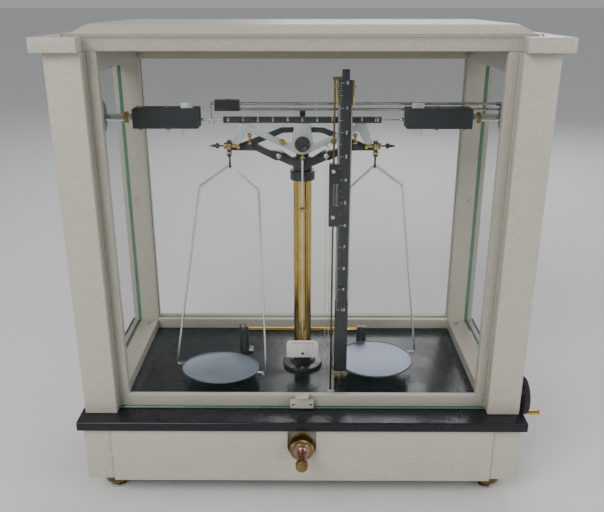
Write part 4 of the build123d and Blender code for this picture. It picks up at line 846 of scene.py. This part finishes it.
chain_metal = metal("chain_gold", ((0.62, 0.56, 0.42), (0.80, 0.76, 0.66)), (0.2, 0.34), 800.0)
chain_line = smooth_line(chain_points)
LINK = 1.5 * MM
BEND_Y = -136.0
BEND_Z = 0.113
strands = [Piece("weighing_chain", chain_metal), Piece("weighing_chain_rising", chain_metal)]
one_link = bmesh.new()
bmesh.ops.create_circle(one_link, segments=4, radius=0.17 * MM)
bmesh.ops.rotate(one_link, cent=(0, 0, 0), matrix=Matrix.Rotation(pi / 2, 3, "X"), verts=one_link.verts)
bmesh.ops.translate(one_link, vec=(0.52 * MM, 0, 0), verts=one_link.verts)
bmesh.ops.spin(one_link, geom=one_link.verts[:] + one_link.edges[:], cent=(0, 0, 0), axis=(0, 0, 1),
               dvec=(0, 0, 0), angle=2 * pi, steps=8, use_merge=True, use_duplicate=False)
bmesh.ops.remove_doubles(one_link, verts=one_link.verts, dist=1e-8)
bmesh.ops.scale(one_link, vec=(1.75, 1, 1), verts=one_link.verts)
bmesh.ops.recalc_face_normals(one_link, faces=one_link.faces)
link_mesh = bpy.data.meshes.new("one_link")
one_link.to_mesh(link_mesh)
one_link.free()
for i, (at, way) in enumerate(at_distance(chain_line, LINK)):
    shape = bmesh.new()
    shape.from_mesh(link_mesh)
    turn = way.to_track_quat("X", "Z").to_matrix().to_4x4() @ Matrix.Rotation(pi / 2 * (i % 2) + 0.4, 4, "X")
    bmesh.ops.transform(shape, matrix=Matrix.Translation(at) @ turn, verts=shape.verts)
    strands[0 if at.y > BEND_Y * MM else 1].add(shape, 0)
bpy.data.meshes.remove(link_mesh)
chain = strands[0].done(None, ["chain"])
rising = strands[1].done(None, slot="steel")
upper = chain_points[0][2]
hung = chain_points[-1][2]
2 * BEND_Z - upper
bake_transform(chain)
2 * BEND_Z - hung
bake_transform(rising)


turn_at = next(i for i, point in enumerate(chain_line) if point.y <= BEND_Y * MM)
chain_line[:turn_at + 1]

# ---- Rider gear ----
# Two drawn steel rods run under the lid; a black head slides along them and
# a ring hung from the upper rod is there to pick up a rider weight.
RIDER_Y = -95
ROD_Z = 403.5
GUIDE_Z = 397.6
rods = Piece("rider_picking_rod", steel, old_brass, chrome)
rods.add(turned(disc(1.45, -96, 246, 0.3), (0, RIDER_Y, ROD_Z), "X", 24), 0)
rods.add(knurled(6.5, 14.0, 40, 0.3, (240.0, RIDER_Y, ROD_Z), "X", 0.9), 1)
rods.add(turned(ring(2.6, 1.3, 201.5, 207.5, 0.4), (0, RIDER_Y, ROD_Z), "X", 28), 2)
rods.add(brick((-96.0, -103.0, 402.9), (-94.6, RIDER_Y, 404.1), 0.25), 0)
rods.add(wire_ring(2.8, 0.55, (-95.0, -102.5, 386.0)), 0)
rods.add(turned(disc(0.55, 388.6, 404.0, 0.1), (-95.0, -102.5, 0), "Z", 16), 0)
rods.done("rider_rod", ["rider_rod"])
guide = Piece("rider_guide", steel)
guide.add(turned(disc(1.45, -92, 232, 0.3), (0, RIDER_Y, GUIDE_Z), "X", 24), 0)
guide.done("rider_carriage", ["rider_guide_rod"])
carriage = Piece("rider_head_block", japan, brass)
carriage.add(softened(cad_shape("rider_head"), 0.7, 3), 0)
carriage.add(screw_head(1.6, 0.9, (-79, RIDER_Y, 407.5), "Z", 0.4), 1)
carriage.done("rider_carriage", ["rider_head"])

# ---- Knob, button and bushing ----
# The arrest knob is a milled bronze disc with a turned boss; the pan-brake
# button slides through it, and a brass bush carries its shaft.
knob_low, knob_high = box_mm("arrest_knob")
knob_z = (knob_low.z + knob_high.z) / 2
back, front = knob_high.y, knob_low.y
bush = Piece("knob_bush", brass)
bush.add(turned([(4.1, -206.5), (9.0, -206.5), (9.0, -210.1), (10.6, -210.1), (11.0, -210.5), (11.0, -214.2),
                 (10.2, -215.1), (4.1, -215.1)], (0, 0, knob_z), "Y", 56), 0)
bush.done("root", ["knob_bushing"])
knob = Piece("milled_arrest_knob", old_brass, pink_brass)
knob.add(knurled(12.8, 12.0, 60, 0.45, (0, back, knob_z), "-Y", 1.3), 0)
knob.add(turned([(0, 0), (9.2, 0), (8.4, 1.1), (5.6, 1.6), (4.4, 3.0), (4.2, 8.0), (4.6, 9.4), (5.0, 10.2),
                 (5.0, 12.6), (4.4, 13.6), (2.6, 13.9), (0, 13.9)], (0, front + 14, knob_z), "-Y", 48), 1)
knob.done("arrest_knob", ["arrest_knob"])
low, high = box_mm("brake_button")
button = Piece("brake_push_button", pink_brass, old_brass)
button.add(turned([(0, 0), (5.2, 0), (6.0, 0.6), (6.3, 1.6), (6.3, 6.0), (5.9, 7.2), (4.6, 8.2),
                  (2.0, 8.5), (0, 8.4)],
                  (0, low.y + 8.5, knob_z), "-Y", 44), 1)
button.add(turned(disc(2.15, low.y + 7, high.y, 0.3), (0, 0, knob_z), "Y", 24), 0)
button.done("brake_button", ["brake_button"])
shaft = Piece("arrest_cam_shaft", steel)
shaft.add(cad_shape("arrest_shaft"), 0)
shaft.done("arrest_knob", ["arrest_shaft"])

# ---- Pan brake ----
# A brass cross-shaft in black bearings swings two black arms; a felt-topped
# disc at the end of each stops its pan.
felt = Finish("green_felt", Roughness=0.95)
nap = felt.noise(900.0, 4.0)
felt.set(Base_Color=felt.blend(nap, (0.02, 0.05, 0.035), (0.06, 0.11, 0.08)))
felt.bump(nap, 0.0002, 0.8)
rocker = Piece("brake_shaft_and_arms", japan, brass, felt)
arms = cad_shape("brake_rocker")
shaft_z = 127.0
for face in arms.faces:
    spot = face.calc_center_median() / MM
    if abs(spot.z - shaft_z) < 2.6 and abs(spot.x) < 71.8:
        face.material_index = 1
rocker.add(softened(arms, 0.3, 2, 50.0))
for felt_at in ((-86.0, -125.0, 103.5), (80.0, -116.0, 106.5)):
    rocker.add(turned([(0, 0), (7.8, 0), (8.0, 0.2), (7.8, 0.5), (0, 0.5)], felt_at, "Z", 32), 2)
rocker.done("pan_brake", ["brake_rocker"])
bearings = Piece("brake_bearing_blocks", japan, steel)
bearings.add(softened(cad_shape("brake_bearings"), 0.6, 3), 0)
for side in (-1, 1):
    bearings.add(screw_head(1.6, 0.9, (63.4 * side, -60.0, 100.0)), 1)
bearings.done("root", ["brake_bearings"])

# ---- Hand wheel and drive ----
# A milled black wheel with a brass crank pin turns a steel shaft that passes
# through the side rail to the foot of the reading column.
ebonite = Finish("ebonite", Specular_IOR_Level=0.5)
worn = ebonite.noise(50.0, 5.0)
ebonite.set(Base_Color=ebonite.blend(worn, (0.012, 0.012, 0.012), (0.035, 0.032, 0.030)),
            Roughness=ebonite.spread(worn, 0.3, 0.7, 0.28, 0.45))
low, high = box_mm("hand_wheel")
wheel_at = ((low.y + high.y) / 2, (low.z + high.z) / 2)
wheel = Piece("milled_hand_wheel", ebonite, brass)
wheel.add(knurled(20.5, 6.8, 84, 0.5, (low.x, *wheel_at), "X", 1.1), 0)
wheel.add(turned(disc(6.5, 6.6, 8.4, 0.6), (low.x, *wheel_at), "X", 40), 0)
wheel.add(turned([(0, 6.6), (1.5, 6.6), (1.5, 8.2), (2.3, 8.8), (2.6, 11.5), (2.4, 17.5), (2.9, 19.8),
                  (2.5, 21.0), (0, 21.2)], (low.x, wheel_at[0] - 10, wheel_at[1] - 15), "X", 28), 1)
wheel.done("hand_wheel", ["hand_wheel"])
drive = Piece("drive_shaft_steel", steel)
drive.add(softened(cad_shape("drive_shaft"), 0.2, 1, 60.0), 0)
drive.done("hand_wheel", ["drive_shaft"])

# ---- Feet and hidden weights ----
# Milled bronze nuts turn the two front pads up and down; a rubber-shod stump
# stands behind, and iron weights in the posts balance the door.
FOOT_X = 204.0
FOOT_Y = -193.0
for name, side in SIDES.items():
    low, high = box_mm("foot_nut_" + name)
    at = (FOOT_X * side, FOOT_Y, 0)
    nut = Piece("milled_foot_nut_" + name, old_brass, steel)
    nut.add(knurled(12.5, 9.0, 44, 0.6, (FOOT_X * side, FOOT_Y, low.z), "Z", 1.2), 0)
    nut.add(turned([(0, low.z + 8.9), (7.4, low.z + 8.9), (6.6, low.z + 10.6), (6.2, 24.8), (3.9, 24.8),
                    (3.9, high.z), (0, high.z)], at, "Z", 32), 1)
    nut.done("foot_nut_" + name, ["foot_nut_" + name])
    pad = Piece("levelling_pad_" + name, steel)
    pad.add(turned([(0, 0), (8.0, 0), (8.5, 0.5), (8.5, 2.4), (7.2, 3.4), (2.5, 3.5), (2.4, 22), (0, 22)],
                   at, "Z", 36), 0)
    pad.done("foot_pad_" + name, ["foot_pad_" + name])
rubber = Finish("grey_rubber", Roughness=0.85)
rubber.set(Base_Color=rubber.blend(rubber.noise(200.0, 4.0), (0.03, 0.03, 0.03), (0.07, 0.07, 0.065)))
rubber.bump(rubber.noise(600.0, 3.0), 0.0001, 0.5)
stump = Piece("rear_foot_stump", rubber, steel)
stump.add(turned([(0, 0), (11.5, 0), (12.5, 1.0), (12.5, 7.4), (11.2, 10.0), (0, 9.0)],
                 (0, 0, 0), "Z", 44), 0)
stump.add(turned([(0, 8.9), (8.0, 8.9), (8.0, 25.0), (0, 25.0)], (0, 0, 0), "Z", 32), 1)
stump.done("root", ["rear_foot"])
iron = metal("cast_iron_weight", ((0.09, 0.09, 0.09), (0.16, 0.15, 0.14)), (0.5, 0.7), 300.0, metallic=0.7)
weights = Piece("door_weights", iron)
weights.add(softened(cad_shape("counterweights"), 0.8, 2), 0)
weights.done("counterweights", ["counterweights"])
